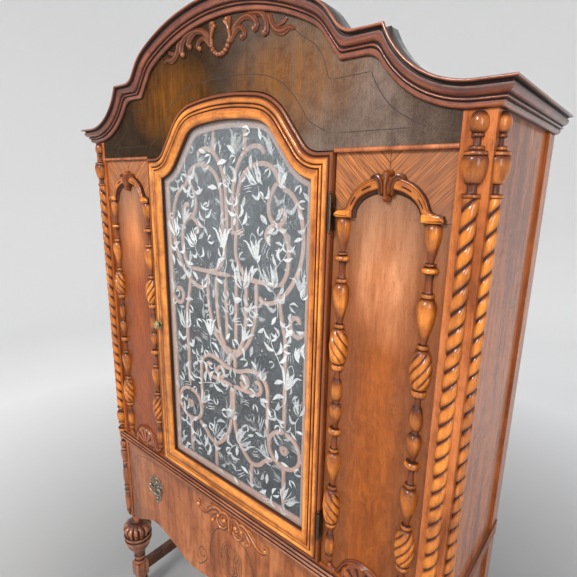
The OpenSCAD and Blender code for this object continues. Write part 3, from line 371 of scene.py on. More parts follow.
def pillow(shape, outline, back, front, edge, seed=0.0, dark=0.0):
    """A flat form with rounded edges: rings of its outline, moved in along their normals by a
    quarter circle as they rise to the front, closed by flat faces."""
    o = np.asarray(outline, float)
    tangent = np.roll(o, -1, 0) - np.roll(o, 1, 0)
    tangent /= np.linalg.norm(tangent, axis=1)[:, None] + 1e-9
    area = np.sum(o[:, 0] * np.roll(o[:, 1], -1) - np.roll(o[:, 0], -1) * o[:, 1])
    inward = np.stack([-tangent[:, 1], tangent[:, 0]], 1) * (1 if area > 0 else -1)
    e = np.linspace(0, math.pi / 2, 5)
    move = np.concatenate([[0], edge * (1 - np.cos(e))])
    depth = np.concatenate([[back], front + edge * np.sign(back - front) * (1 - np.sin(e))])
    p = np.empty((len(move), len(o), 3))
    ring = o[None] + inward[None] * move[:, None, None]
    p[..., 0], p[..., 2], p[..., 1] = ring[..., 0], ring[..., 1], depth[:, None]
    shape.grid(p, None, np.linspace(0.8, dark, len(move))[:, None], seed=seed)


def members(rows, height, radius, age=0.0):
    """Heights and radii of a turned form, from rows of height, radius at the start, in the
    middle and at the end, and how early the fullest place comes: a straight line between the
    end radii with a half circle of the middle radius laid over it, or a power of a parabola on
    a vase, where early is under 0.65. Hollow, for painted shade with old polish, is high near
    the joints, in the necks and at the top of a long member, and age browns the whole."""
    step = 1.2
    scale = height / sum(row[0] for row in rows)
    z, r, part, t, top = [], [], [], [], 0.0
    for k, (h, r0, rm, r1, early) in enumerate(rows):
        n = max(5, int(h * scale / step))
        s = (1 - np.cos(np.linspace(0, math.pi, n + 1))) / 2
        u = 2 * s ** early - 1
        swell = np.clip(1 - u * u, 0, 1) ** (1.5 if early < 0.65 else 0.5)
        peak = r0 + (r1 - r0) * 0.5 ** (1 / early)
        r.append(radius * (r0 + (r1 - r0) * s + (rm - peak) * swell))
        z.append(top - h * scale * s)
        part.append(np.full(n + 1, k))
        t.append(s)
        top -= h * scale
    z, r, part, t = map(np.concatenate, (z, r, part, t))
    long = np.array([row[0] for row in rows])[part]
    near = np.minimum(t, 1 - t) * long * scale
    # Painted shade: darker in the necks and at the top of each long member
    neck = np.clip((0.72 - r / radius) * 1.5, 0, 0.5)
    neck += (long > 20) * 0.38 * np.exp(-(t / 0.22) ** 2)
    return z, r, part, t, np.maximum(0.9 * np.exp(-(near / 1.5) ** 2), neck + age)


def turned(shape, line, centre, top=0.0, facing=None, carve=None, n=40, seed=0.0):
    """A turned form: centre plus radius times cosine and sine of the angle, over half a turn
    with a flat back where it faces a side, or a whole turn. carve changes the radius and the
    hollow by height and angle."""
    z, r, part, t, hollow = line
    a = np.linspace(0, math.pi, n + 1) if facing else np.linspace(0, TAU, n, endpoint=False)
    r, hollow = r[:, None] + 0 * a, hollow[:, None] + 0 * a
    if carve:
        r, hollow = carve(z[:, None], a, part[:, None], t[:, None], r, hollow)
    p = about(centre, facing or (0, -1), a, r, top + z[:, None])
    grain = np.stack([r * np.cos(a), r * np.sin(a), p[..., 2]], -1)
    shape.grid(p, grain, np.clip(hollow, 0, 1), seed=seed)


def swirl(parts, reeds, lean):
    """Cuts slanting reeds in some members of a turned form: the radius falls off where the
    sine of angle times reeds plus height times lean is near zero."""
    depth, round_power, dark_power = 0.19, 1.8, 3.6

    def carve(z, a, part, t, r, hollow):
        wave = 1 - np.abs(np.sin(reeds * a + lean * z))
        on = np.isin(part, parts) * np.clip(8 * np.minimum(t, 1 - t), 0, 1)
        # The reeds' grooves take hollow, for painted shade with old polish
        return r * (1 - depth * on * wave ** round_power), hollow + on * wave ** dark_power
    return carve


def side_bars(shape, thick, low, high, front, back, hollow):
    """A bar inside each side of the case: a box between two heights and two depths."""
    for side in BOTH:
        ring = np.array([(HALF_W - thick, low), (HALF_W, low), (HALF_W, high),
            (HALF_W - thick, high)])
        box = np.empty((2, 4, 3))
        box[..., 0], box[..., 2] = side * ring[:, 0], ring[:, 1]
        box[0, :, 1], box[1, :, 1] = front, back
        shape.grid(box, box[..., [0, 2, 1]], hollow)


# Finishes

class Value:
    """A socket with arithmetic: an expression on values adds its Math nodes."""

    def __init__(self, finish, socket):
        self.finish, self.socket = finish, socket

    def maths(self, operation, *others, clamp=False):
        inputs = dict(enumerate((self,) + others))
        return self.finish.node("Math", {"operation": operation, "use_clamp": clamp}, inputs)

    def __add__(self, other):
        return self.maths("ADD", other)

    def __sub__(self, other):
        return self.maths("SUBTRACT", other)

    def __rsub__(self, other):
        return (self * -1.0) + other

    def __mul__(self, other):
        return self.maths("MULTIPLY", other)

    def __abs__(self):
        return self.maths("ABSOLUTE")

    __radd__ = __add__
    __rmul__ = __mul__

    def clipped(self):
        """Kept between zero and one."""
        return self.maths("ADD", 0.0, clamp=True)

    def above(self, low, high):
        """Zero below low, one above high, and straight between them."""
        return ((self - low) * (1.0 / (high - low))).clipped()


class Finish:
    """A material in the making. node() adds any node: its settings first, then its inputs, as
    values or links. It returns the output asked for, if any."""

    def __init__(self, name):
        self.material = bpy.data.materials.new(name)
        self.material.use_nodes = True
        self.tree = self.material.node_tree
        self.tree.nodes.clear()

    def node(self, kind, settings=None, inputs=None, out=0):
        node = self.tree.nodes.new("ShaderNode" + kind)
        for key, value in (settings or {}).items():
            if key == "stops":
                ramp = node.color_ramp
                while len(ramp.elements) < len(value):
                    ramp.elements.new(1.0)
                for element, (place, shade) in zip(ramp.elements, value):
                    element.position, element.color = place, (*shade, 1.0)
            else:
                setattr(node, key, value)
        for key, value in (inputs or {}).items():
            if isinstance(value, Value):
                self.tree.links.new(value.socket, node.inputs[key])
            elif hasattr(value, "__len__") and node.inputs[key].type == "RGBA":
                node.inputs[key].default_value = (*value, 1.0)
            else:
                node.inputs[key].default_value = value
        return None if out is None else Value(self, node.outputs[out])

    def place(self, grain=None, scale=(1, 1, 1), turn=(0, 0, 0)):
        """Object coordinates, or the piece's own grain attribute, stretched and turned."""
        if grain:
            start = self.node("Attribute", {"attribute_name": "grain"}, out="Vector")
        else:
            start = self.node("TexCoord", out="Object")
        return self.node("Mapping", {"vector_type": "POINT"},
            {"Vector": start, "Rotation": turn, "Scale": scale})

    def noise(self, vector, scale, detail=3.0, roughness=0.55, distortion=0.0):
        return self.node("TexNoise", {"noise_dimensions": "3D"}, {"Vector": vector,
            "Scale": scale, "Detail": detail, "Roughness": roughness, "Distortion": distortion},
            out="Fac")

    def hollow(self):
        """The piece's own hollow attribute: one in its grooves, zero on its high places."""
        return self.node("Attribute", {"attribute_name": "hollow"}, out="Fac")

    def mix(self, factor, a, b, how="MIX"):
        return self.node("Mix", {"data_type": "RGBA", "blend_type": how, "clamp_factor": True},
            {"Factor": factor, 6: a, 7: b}, out=2)

    def times(self, a, b):
        """Two colours multiplied."""
        return self.mix(1.0, a, b, "MULTIPLY")

    def bump(self, height, depth, strength):
        """A normal tilted by a height, whose whole depth is in metres."""
        return self.node("Bump", None,
            {"Height": height, "Distance": depth, "Strength": strength}, out="Normal")

    def surface(self, **inputs):
        """The material's shader, with its inputs by name, led to the output."""
        names = {key.replace("_", " "): value for key, value in inputs.items()}
        shader = self.node("BsdfPrincipled", None, names)
        self.node("OutputMaterial", None, {"Surface": shader}, out=None)


def tint(colour, amount):
    """A colour made lighter or darker by a factor."""
    return tuple(min(1.0, c * amount) for c in colour)


def walnut(name, colour, stain_and_shade, grain=False, turn=(0, 0, 0), figure=1.0, gloss=0.2, zone=None,
           dull=None, shine=0.30):
    """Polished walnut: slow figure and fine fibres along the grain, short pores across them,
    old polish with painted shade where the hollow attribute is high, clean wood where it is
    low, and a thin shellac coat. zone may change the ground colour by place, dull the
    polish, and gloss the coat."""
    f = Finish(name)
    if callable(gloss):
        gloss = gloss(f)
    slow = f.place(grain, (1, 1, 0.09), turn)
    fine = f.place(grain, (1, 1, 0.03), turn)
    broad = f.noise(f.place(grain, (1, 1, 0.45), turn), 7.0, 2.0)
    bands = f.noise(slow, 46.0, 4.0, 0.6, 0.7)
    fibre = f.noise(fine, 700.0, 3.0, 0.6)
    pores = f.noise(f.place(grain, (1, 1, 0.07), turn), 1500.0, 1.0).above(0.60, 0.70)
    hollow = f.hollow()
    ground = zone(f, colour) if zone else colour
    tone = ((bands * 0.75 + broad * 0.45 - 0.6) * 2.1 * figure + 0.5).clipped()
    light = f.node("ValToRGB", {"stops": [(0.0, (0.26, 0.20, 0.20)), (0.34, (0.66, 0.58, 0.55)),
        (0.62, (1.04, 1.0, 0.96)), (1.0, (1.42, 1.55, 1.65))]}, {"Fac": tone})
    wood = f.times(ground, light)
    wood = f.mix((fibre - 0.35) * 0.9, wood, f.times(wood, (1.45, 1.35, 1.2)))
    wood = f.mix(pores * 0.5, wood, stain_and_shade)
    # Painted shade with old polish: darker where the hollow attribute is high, darkest in the
    # deepest hollows
    aged_and_shaded = f.times(wood, (0.34, 0.24, 0.30))
    patina = f.noise(f.place(), 34.0, 4.0, 0.65).above(0.46, 0.74) * 0.55
    wood = f.mix((hollow * 1.8 + patina).maths("MINIMUM", 1.0), wood, aged_and_shaded)
    wood = f.mix((hollow - 0.4) * 1.6, wood, stain_and_shade)
    rough = 0.12 + fibre * 0.14 + pores * 0.25 + hollow * 0.35 + broad * 0.06
    if dull:
        rough = (rough + dull(f) * 0.8).maths("MINIMUM", 0.95)
    height = fibre * 0.6 - pores * 0.8 + bands * 0.3
    f.surface(Base_Color=wood, Roughness=rough, Normal=f.bump(height, 0.00022, 0.6),
        Coat_Weight=gloss * (1.0 - hollow).clipped(), Coat_Roughness=0.06,
        Specular_IOR_Level=shine)


def xyz(f):
    """The three Object coordinates of a CAD node or piece, in metres."""
    place = f.node("TexCoord", out="Object")
    return [f.node("SeparateXYZ", None, {"Vector": place}, out=k) for k in range(3)]


def behind_face(f):
    """Zero on the posts' front face and just behind it, and one from 2.5 mm behind it on."""
    face = FACE_Y * 0.001
    return xyz(f)[1].above(face + 0.0015, face + 0.0025)


def frieze_zone(f, colour):
    """Crackled dark veneer, warmer in a cloud at each side of the carving and over the door's
    arch, with a painted greyish sheen, broken by the crackle, to the right."""
    x, _, z = xyz(f)
    across = (abs(x) - 0.175) * 6.0
    up = (z - 1.590) * 10.0
    cloud = (1.0 - (across * across + up * up)).clipped()
    speckle = f.noise(f.place(), 420.0, 4.0, 0.75)
    sheen_patches = f.noise(f.place(), 16.0, 3.0)
    grain = f.noise(f.place(None, (1, 1, 0.12)), 90.0, 3.0)
    base = f.mix(speckle.above(0.32, 0.72), (0.010, 0.005, 0.002), (0.056, 0.033, 0.016))
    # Painted sheen: greyish patches over the right part of the frieze
    grey_sheen = x.above(-0.06, 0.33) * (sheen_patches.above(0.25, 0.7) * 0.5 + 0.5) * (0.3 + speckle * 0.8)
    grey_sheen = grey_sheen * (1.0 - x.above(0.35, 0.46) * 0.75)
    base = f.mix(grey_sheen * 0.9, base, (0.29, 0.225, 0.190))
    base = f.mix(cloud * (0.24 + grain.above(0.3, 0.7) * 0.56), base, colour)
    return f.mix(behind_face(f), base, (0.010, 0.007, 0.006))


def frieze_polish(f):
    """More polish left towards the right end of the frieze."""
    return xyz(f)[0].above(-0.05, 0.35) * 0.4


def board_zone(f, colour):
    """Dark boards, browner where they face the wall behind."""
    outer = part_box("back_panel")[1].y
    wall_side = xyz(f)[1].above(outer - 0.0015, outer - 0.0005)
    return f.mix(wall_side, colour, (0.17, 0.085, 0.045))


def door_zone(f, colour):
    """Painted light: lighter towards the door's right stile and over the top of its arch."""
    x, _, z = xyz(f)
    lit = x.above(0.06, 0.24).maths("MAXIMUM", z.above(1.50, 1.56))
    return f.mix(lit, colour, tint(colour, 1.3))


def drawer_zone(f, colour):
    """Red brown with upright bands, darker towards the ends, and with painted shade under the
    moulding.
    """
    x, _, z = xyz(f)
    ends = abs(x).above(0.37, 0.47)
    top = z.above(0.585, 0.615)
    bands = f.noise(f.place(None, (1, 1, 0.35)), 11.0, 3.0, 0.6, 0.8).above(0.36, 0.66)
    warm = f.mix(bands, tint(colour, 0.84), (0.47, 0.172, 0.060))
    return f.mix((ends * 0.6).maths("MAXIMUM", top * 0.6), warm, (0.085, 0.034, 0.018))


def panel_zone(f, colour):
    """Orange pink in the middle of each field with a painted pink highlight over its upper part,
    painted greyish shade under the arch, painted shade at its edges, and the left field
    painted darker and warmer.
    """
    x, _, z = xyz(f)
    middle = 1.0 - (abs(abs(x) - PANEL_MID * 0.001)).above(0.018, 0.062)
    cloud = f.noise(f.place(None, (1, 1, 0.3)), 16.0, 3.0)
    head = z.above(1.27, 1.40)
    high = z.above(1.14, 1.27)
    left = (x * -1.0).above(0.2, 0.3)
    # Painted highlight: lighter and pinker from 1.14 m up
    browner = f.mix(high, (0.22, 0.052, 0.005), (0.50, 0.185, 0.070))
    pinker = f.mix(high, (0.38, 0.100, 0.010), (0.94, 0.45, 0.24))
    warm = f.mix(cloud.above(0.35, 0.65), browner, pinker)
    # Painted shade towards the field's edges
    field = f.mix(middle * 0.85 + 0.05, tint(colour, 0.55), warm)
    # Left field painted darker and warmer
    field = f.mix(left * 0.8, field, f.times(field, (0.90, 0.68, 0.35)))
    # Painted greyish shade under the arch, from 1.27 m up
    return f.mix(head * 0.85, field, (0.20, 0.105, 0.064))


def matched_panel(name, colour, stain_and_shade):
    """A fixed panel: veneer matched in a V over the arch, upright figure in the field below,
    curled in its lower half. The V's fibres follow the distance from the panel's middle line
    plus the height, and it lies outside the arch's oval, where the squares of width and rise
    add up to more than one."""
    f = Finish(name)
    x, y, z = xyz(f)
    foot = 1.367
    u = abs(x) - PANEL_MID * 0.001
    slope = abs(u)
    along = (slope + z) * 0.7071
    across = (slope - z) * 0.7071
    wide, rise = u * 14.6, (z - foot) * 17.5
    outside = (wide * wide + rise * rise).above(0.98, 1.0)
    upper = z.above(foot - 0.0002, foot + 0.0001) * outside
    a = f.node("CombineXYZ", None, {"X": across, "Y": y, "Z": along * 0.02})
    b = f.node("CombineXYZ", None, {"X": x, "Y": y, "Z": z * 0.10})
    stripes = f.noise(a, 1150.0, 2.0, 0.5).above(0.34, 0.64)
    figure = f.noise(b, 52.0, 5.0, 0.68, 2.4)
    curl = f.noise(f.place(None, (1, 1, 0.5), (0, 0.45, 0)), 24.0, 5.0, 0.6, 3.5)
    fibre = f.noise(f.mix(upper, b, a), 1100.0, 2.0)
    streak = f.noise(b, 300.0, 2.0)
    v = f.mix(stripes, (0.10, 0.033, 0.015), (0.54, 0.192, 0.060))
    cloud = f.noise(a, 26.0, 2.0).above(0.42, 0.62)
    # Darker in random clouds, and painted shade towards the outer end of the right panel
    shade = (cloud + x.above(0.37, 0.43)).maths("MINIMUM", 1.0)
    v = f.mix(shade * 0.55, v, (0.20, 0.085, 0.048))
    # Painted shade along the foot of the V, over the arch
    v = f.mix((1.0 - z.above(1.3668, 1.40)) * 0.6, v, (0.20, 0.10, 0.065))
    field = panel_zone(f, colour)
    field = f.mix(figure.above(0.30, 0.60), f.times(field, (0.76, 0.68, 0.62)), field)
    field = f.mix(streak.above(0.50, 0.68) * 0.25, field, f.times(field, (0.50, 0.42, 0.38)))
    curled = (1.0 - curl.above(0.47, 0.54)) * (1.0 - z.above(1.08, 1.22)) * 0.45
    field = f.mix(curled, field, f.times(field, (0.68, 0.58, 0.50)))
    wood = f.mix(upper, field, v)
    seam = (1.0 - slope.above(0.0004, 0.0009)) * upper
    joint = (1.0 - (abs(z - foot)).above(0.0003, 0.0008)) * outside
    wood = f.mix(seam.maths("MAXIMUM", joint) * 0.75, wood, stain_and_shade)
    wood = f.mix(fibre.above(0.56, 0.7) * 0.4, wood, stain_and_shade)
    f.surface(Base_Color=wood, Roughness=0.20 + fibre * 0.2, Coat_Weight=0.15 + fibre * 0.1,
        Coat_Roughness=0.10, Normal=f.bump(fibre + stripes * 0.3, 0.00018, 0.5),
        Specular_IOR_Level=0.20)


def cast(name, metal, dirt_colour):
    """Old cast metal: bare on its high places, with dirt where the hollow attribute is high."""
    f = Finish(name)
    wide = f.noise(f.place(), 60.0, 4.0)
    fine = f.noise(f.place(), 700.0, 3.0)
    hollow = f.hollow()
    dirt = hollow * 0.95 + wide.above(0.5, 0.75) * 0.4 + fine.above(0.55, 0.8) * 0.4
    dirt = dirt.maths("MINIMUM", 0.94)
    f.surface(Base_Color=f.mix(dirt, metal, dirt_colour), Metallic=1.0 - dirt * 0.6,
        Roughness=0.26 + dirt * 0.3 + fine * 0.1, Normal=f.bump(fine - dirt, 0.0002, 0.5))


def make_finishes(c):
    """Every finish of the cabinet. Names end in the way the grain runs: upright, level from
    left to right, deep from front to back, or carved where it follows the piece."""
    orange, door, crown, crest, frieze, panel, dark, inside, stain_and_shade = map(tuple, (c.orange,
        c.door, c.crown, c.crest, c.frieze, c.panel, c.dark, c.inside, c.stain_and_shade))
    level, deep = (0, math.pi / 2, 0), (math.pi / 2, 0, 0)
    walnut("orange_carved", orange, stain_and_shade, True, gloss=0.55)
    walnut("door_carved", door, stain_and_shade, True, gloss=0.5, zone=door_zone)
    walnut("crown_carved", crown, stain_and_shade, True, gloss=1.0, shine=0.45)
    walnut("panel_carved", panel, stain_and_shade, True)
    walnut("dark_carved", tint(dark, 1.5), stain_and_shade, True, gloss=0.5)
    walnut("leg_carved", tint(dark, 2.15), stain_and_shade, True, gloss=0.9, shine=0.45)
    walnut("crest_carved", crest, stain_and_shade, True, gloss=0.6)
    walnut("orange_upright", orange, stain_and_shade)
    walnut("bead_level", crown, stain_and_shade, turn=level)
    walnut("panel_upright", panel, stain_and_shade, shine=0.2)
    walnut("panel_level", panel, stain_and_shade, turn=level)
    walnut("panel_deep", tint(panel, 0.8), stain_and_shade, turn=deep)
    walnut("dark_deep", tint(dark, 0.6), stain_and_shade, turn=deep, gloss=0.15)
    walnut("dark_level", tint(dark, 0.6), stain_and_shade, turn=level, gloss=0.15)
    walnut("frieze_veneer", frieze, stain_and_shade, turn=level, figure=0.3,
        gloss=frieze_polish, zone=frieze_zone, dull=behind_face, shine=0.05)
    walnut("drawer_veneer", panel, stain_and_shade, figure=0.8, gloss=0.25, zone=drawer_zone)
    walnut("inside_upright", inside, stain_and_shade, gloss=0.0, zone=board_zone)
    walnut("inside_level", inside, stain_and_shade, turn=level, gloss=0.0, zone=board_zone)
    walnut("inside_deep", tint(inside, 1.5), stain_and_shade, turn=deep, gloss=0.0)
    matched_panel("matched_veneer", panel, stain_and_shade)
    cast("old_brass", tuple(c.brass), (0.06, 0.045, 0.022))
    cast("dark_brass", tuple(c.pulls), (0.012, 0.010, 0.008))
    cast("dark_bronze", tuple(c.bronze), (0.022, 0.018, 0.014))

    f = Finish("incised_line")
    age = f.noise(f.place(), 300.0)
    f.surface(Base_Color=f.mix(age, tint(stain_and_shade, 0.9), tint(stain_and_shade, 2.2)), Roughness=0.5 + age * 0.3)

    f = Finish("inlaid_line")
    age = f.noise(f.place(), 240.0)
    f.surface(Base_Color=f.mix(age.above(0.35, 0.65), (0.030, 0.008, 0.004), (0.10, 0.020, 0.008)),
        Roughness=0.35 + age * 0.3, Coat_Weight=0.2 + age * 0.2)

    f = Finish("speckled_glass")
    z = xyz(f)[2]
    speck = f.noise(f.place(), 620.0, 3.0, 0.8).above(0.53, 0.66)
    slant = f.place(None, (1.0, 1.0, 0.45), (0, 0.6, 0))
    brush = f.noise(slant, 190.0, 3.0, 0.7, 1.5).above(0.50, 0.66)
    cloud = f.noise(f.place(), 13.0, 3.0, 0.6).above(0.35, 0.70)
    high = z.above(0.95, 1.45)
    haze = (speck * 0.8).maths("MAXIMUM", brush * (0.20 + high * 0.45)) * (0.40 + cloud * 0.6)
    f.surface(Base_Color=f.mix(haze, tuple(c.glass), (0.62, 0.66, 0.68)),
        Roughness=0.06 + haze * 0.3, Normal=f.bump(cloud, 0.0006, 0.2), Specular_IOR_Level=0.35,
        Alpha=(0.13 + haze * 0.50 + high * 0.12).maths("MINIMUM", 0.9))

    f = Finish("painted_fret")
    grit = f.noise(f.place(), 320.0, 3.0, 0.7)
    wide = f.noise(f.place(), 24.0, 2.0)
    hollow = f.hollow()
    paint = f.mix(grit, tint(c.fret, 0.75), tint(c.fret, 1.2))
    paint = f.mix(wide.above(0.45, 0.7) * 0.5, paint, tint(c.fret, 0.7))
    low = 1.0 - xyz(f)[2].above(0.80, 1.25)
    paint = f.mix(low * 0.8, paint, f.times(paint, (0.66, 0.60, 0.57)))
    f.surface(Base_Color=f.mix(hollow * 0.5, paint, (0.10, 0.05, 0.03)),
        Roughness=0.55 + wide * 0.2, Normal=f.bump(grit, 0.0002, 0.5))

    f = Finish("white_print")
    worn = f.noise(f.place(), 300.0, 3.0, 0.7)
    hollow = f.hollow()
    f.surface(Base_Color=f.mix(worn, tint(c.print, 0.86), tint(c.print, 1.08)),
        Roughness=0.35 + worn * 0.2, Normal=f.bump(worn, 0.0001, 0.4),
        Alpha=((worn * 1.5 - 0.06) * (1.0 - hollow * 0.92)).maths("MINIMUM", 0.92))

    f = Finish("studio_paper")
    x, y, z = xyz(f)
    tooth = f.noise(f.place(), 180.0, 2.0)
    # Painted shadow: floor and wall darker near the cabinet, fading out from 0.70 m to 2.35 m
    shadow_fade = (x * x + y * y + z * z).maths("SQRT").above(0.70, 2.35)
    paper = f.mix(tooth, tint(c.floor, 0.99), tint(c.floor, 1.01))
    f.surface(Base_Color=f.mix(shadow_fade, f.times(paper, (0.36, 0.36, 0.36)), paper),
        Roughness=0.9 + tooth * 0.05)


# Turned forms: height, radius at the start, in the middle and at the end, place of the fullest
PANEL_MEMBERS = [
    (56, .36, .70, .25, .50), (5, .40, .48, .36, 1), (10, .44, .74, .44, 1), (28, .40, .32, .42, 1),
    (8, .44, .60, .44, 1), (70, .48, .86, .27, .52), (8, .40, .54, .40, 1), (64, .42, 1.00, .42, 1),
    (12, .50, .68, .46, 1), (16, .34, .28, .34, 1), (40, .34, .60, .34, 1.2), (6, .32, .32, .36, 1),
    (48, .36, .70, .25, .55), (13, .44, .74, .44, 1), (28, .32, .27, .36, 1), (8, .40, .54, .40, 1),
    (70, .44, .82, .26, .50), (8, .42, .56, .42, 1), (72, .42, 1.00, .42, 1), (9, .48, .68, .44, 1),
    (18, .34, .28, .34, 1), (44, .34, .60, .34, 1.2), (4, .34, .34, .36, 1), (14, .30, .46, .20, 1)]
URN_MEMBERS = [
    (26, .20, .74, .30, 1), (5, .44, .52, .44, 1), (10, .32, .30, .34, 1), (6, .56, .64, .56, 1),
    (6, .84, .94, .86, 1), (34, .80, 1.00, .52, .8), (12, .44, .40, .46, 1), (6, .66, .76, .66, 1)]
BASE_MEMBERS = [
    (6, .66, .76, .66, 1), (10, .42, .38, .42, 1), (34, .56, .92, .50, .8), (8, .60, .74, .60, 1),
    (12, .44, .40, .50, 1), (10, .78, .88, .78, 1)]
LOWER_MEMBERS = [
    (24, .40, .98, .44, 1), (9, .60, .80, .60, 1), (40, .62, 1.00, .44, .7), (9, .50, .74, .50, 1),
    (12, .40, .36, .42, 1), (66, .52, .86, .50, 1), (9, .60, .80, .60, 1), (9, .50, .46, .50, 1),
    (9, .60, .80, .60, 1), (66, .46, .84, .40, .9), (22, .36, .30, .20, 1)]
BULB_MEMBERS = [
    (8, .30, .36, .32, 1), (44, .34, .93, .86, .62), (10, .90, .96, .88, 1), (6, .84, .82, .84, 1),
    (12, .90, .94, .88, 1), (14, .84, .82, .74, 1), (26, .74, .74, .48, .6), (13, .46, .42, .40, 1)]
NECK_MEMBERS = [
    (12, .66, .56, .62, 1), (9, .76, .90, .76, 1), (8, .66, .62, .66, 1), (12, .78, .94, .80, 1)]
FOOT_MEMBERS = [
    (10, .80, .90, .76, 1), (8, .60, .58, .62, 1), (40, .84, 1.12, .72, .9),
    (12, .66, .70, .60, 1)]


class Maker:
    """What every operator of this cabinet shares."""
    bl_options = {"REGISTER"}

    def execute(self, context):
        self.make(context.scene.cabinet_sizes, context.scene.cabinet_colours)
        return {"FINISHED"}


class CABINET_OT_finishes(Maker, bpy.types.Operator):
    """Makes the walnut, brass, glass and print finishes"""
    bl_idname, bl_label = "cabinet.finishes", "Finishes"

    def make(self, sizes, colours):
        make_finishes(colours)


# Sections of mouldings: place across, projection, bulge of the run up to it, and hollow
CROWN_SECTION = [
    (0, 0, 0, 1), (0, 23.6, 0, 1), (.4, 24.4, 0, .3), (4.2, 24.4, 1.6, .1), (4.6, 20, 0, 1),
    (5.4, 17.5, 0, 1), (8.2, 17.5, -.6, 1), (8.8, 19.4, 0, .6), (19.0, 13.5, 2.4, .2),
    (19.4, 11, 0, 1), (21, 10.4, 0, 1), (21.4, 11.4, 0, .5), (24.4, 11.2, 1.6, .2),
    (24.8, 8, 0, 1), (26.4, 7.4, 0, 1), (26.8, 8.6, 0, .4), (33.4, 4.4, 1.5, .2),
    (34, 3.2, 0, .9), (34, 0, 0, .9)]
ARCH_BAND = 15
ARCH_SECTION = [
    (0, -.5, 0, 1), (0, 8.0, 0, .8), (1.0, 10.2, .3, .3), (2.0, 10.4, .2, 0), (2.4, 9.6, 0, .6),
    (2.9, 10.6, 0, .2), (10.4, 9.2, 1.0, 0), (11.0, 7.6, 0, .7), (14.7, 1.2, -.9, .95),
    (ARCH_BAND, -.5, 0, 1)]
# The same for the door, with the depth behind the posts' face in the projection's place
DOOR_SECTION = [
    (0, 20, 0, .6), (0, -2.4, 0, .6), (1.0, -3.6, -.3, .6), (5.8, -3.6, -.9, .5),
    (6.2, -1.6, 0, 1), (8.4, -1.4, 0, 1), (8.8, -3.6, 0, .5), (19.2, -4.4, -3.6, 0),
    (19.6, -2.6, 0, 1), (21.2, -2.4, 0, 1), (21.6, -4.4, 0, .4), (26.4, -4.2, -1.9, .1),
    (26.8, -2.2, 0, .9), (28.8, -2.0, 0, .9), (29.2, -5.2, 0, .4), (46.6, 0.8, -2.6, 0),
    (47.2, 2.4, 0, .8), (48, 3, 0, .9), (48, 10, 0, .9), (42, 10, 0, 1), (42, 20, 0, .6)]


class CABINET_OT_crown(Maker, bpy.types.Operator):
    """Runs the crown moulding over the front and back along both sides in one mitred sweep"""
    bl_idname, bl_label = "cabinet.crown", "Crown Moulding"

    def make(self, sizes, colours):
        """Each point of the section runs along the crown's line moved down by its drop, with the
        ends moved out by its projection, then straight back along the side."""
        profile = section(CROWN_SECTION)
        x = np.linspace(-1, 1, 861)
        p = np.empty((len(profile), len(x) + 2, 3))
        for row, (drop, out, _) in zip(p, profile):
            end = HALF_W + out
            row[1:-1, 0] = x * end
            row[1:-1, 1] = -out
            row[1:-1, 2] = crown_z(x * end, drop)
            row[0], row[-1] = (-end, BACK, CROWN_END - drop), (end, BACK, CROWN_END - drop)
        nose = p[8]
        run = distances(nose)
        grain = np.empty_like(p)
        grain[..., 0], grain[..., 1], grain[..., 2] = profile[:, :1], profile[:, 1:2], run
        shape = Shape("crown")
        shape.grid(p.transpose(1, 0, 2), grain.transpose(1, 0, 2),
            np.broadcast_to(profile[:, 2], (len(run), len(profile))))
        side_bars(shape, thick=20, low=48, high=CROWN_END, front=20, back=BACK, hollow=0.2)
        shape.piece("case", "orange_walnut", "crown_carved", "crown_moulding", "crown_returns")


class CABINET_OT_door(Maker, bpy.types.Operator):
    """Runs the door frame's moulding along the stiles, the bottom rail and the arched top rail"""
    bl_idname, bl_label = "cabinet.door", "Door Frame"

    def make(self, sizes, colours):
        """Each point of the section follows the door's line moved inwards by its distance from
        the edge, and the pieces meet where the lines at equal distances cross."""
        profile = section(DOOR_SECTION)
        d, y = profile[:, 0], profile[:, 1]
        edge, foot = DOOR_HALF - d, DOOR_FOOT + d
        head = np.array([door_z(e, k) for e, k in zip(edge, d)])
        t = np.linspace(0, 1, 60)[:, None]
        p = np.empty((len(t), len(d), 3))
        p[..., 1] = y
        for name, side, seed in (("left", -1, 0.3), ("right", 1, 0.9)):
            p[..., 0], p[..., 2] = side * edge, foot + (head - foot) * t
            self.rail(f"{name}_stile", p, p[..., 2], profile, seed, f"door_{name}_stile")
        p[..., 0], p[..., 2] = edge * (2 * t - 1), foot
        self.rail("bottom_rail", p, p[..., 0], profile, 1.7, "door_bottom_rail")
        t = np.linspace(-1, 1, 361)[:, None]
        p = np.empty((len(t), len(d), 3))
        p[..., 0], p[..., 1] = edge * t, y
        for k, inwards in enumerate(d):
            p[:, k, 2] = door_z(p[:, k, 0], inwards)
        run = distances(p[:, 0])[:, None] + 0 * d
        self.rail("arched_rail", p, run, profile, 2.3, "door_top_rail")

    def rail(self, name, p, run, profile, seed, node):
        """One length of the frame, with its grain along its run."""
        d, y, hollow = (profile[:, k] + 0 * run for k in range(3))
        shape = Shape(name)
        shape.grid(p, np.stack([d, y, run], -1), hollow, seed=seed)
        shape.piece("door", "orange_walnut", "door_carved", node)


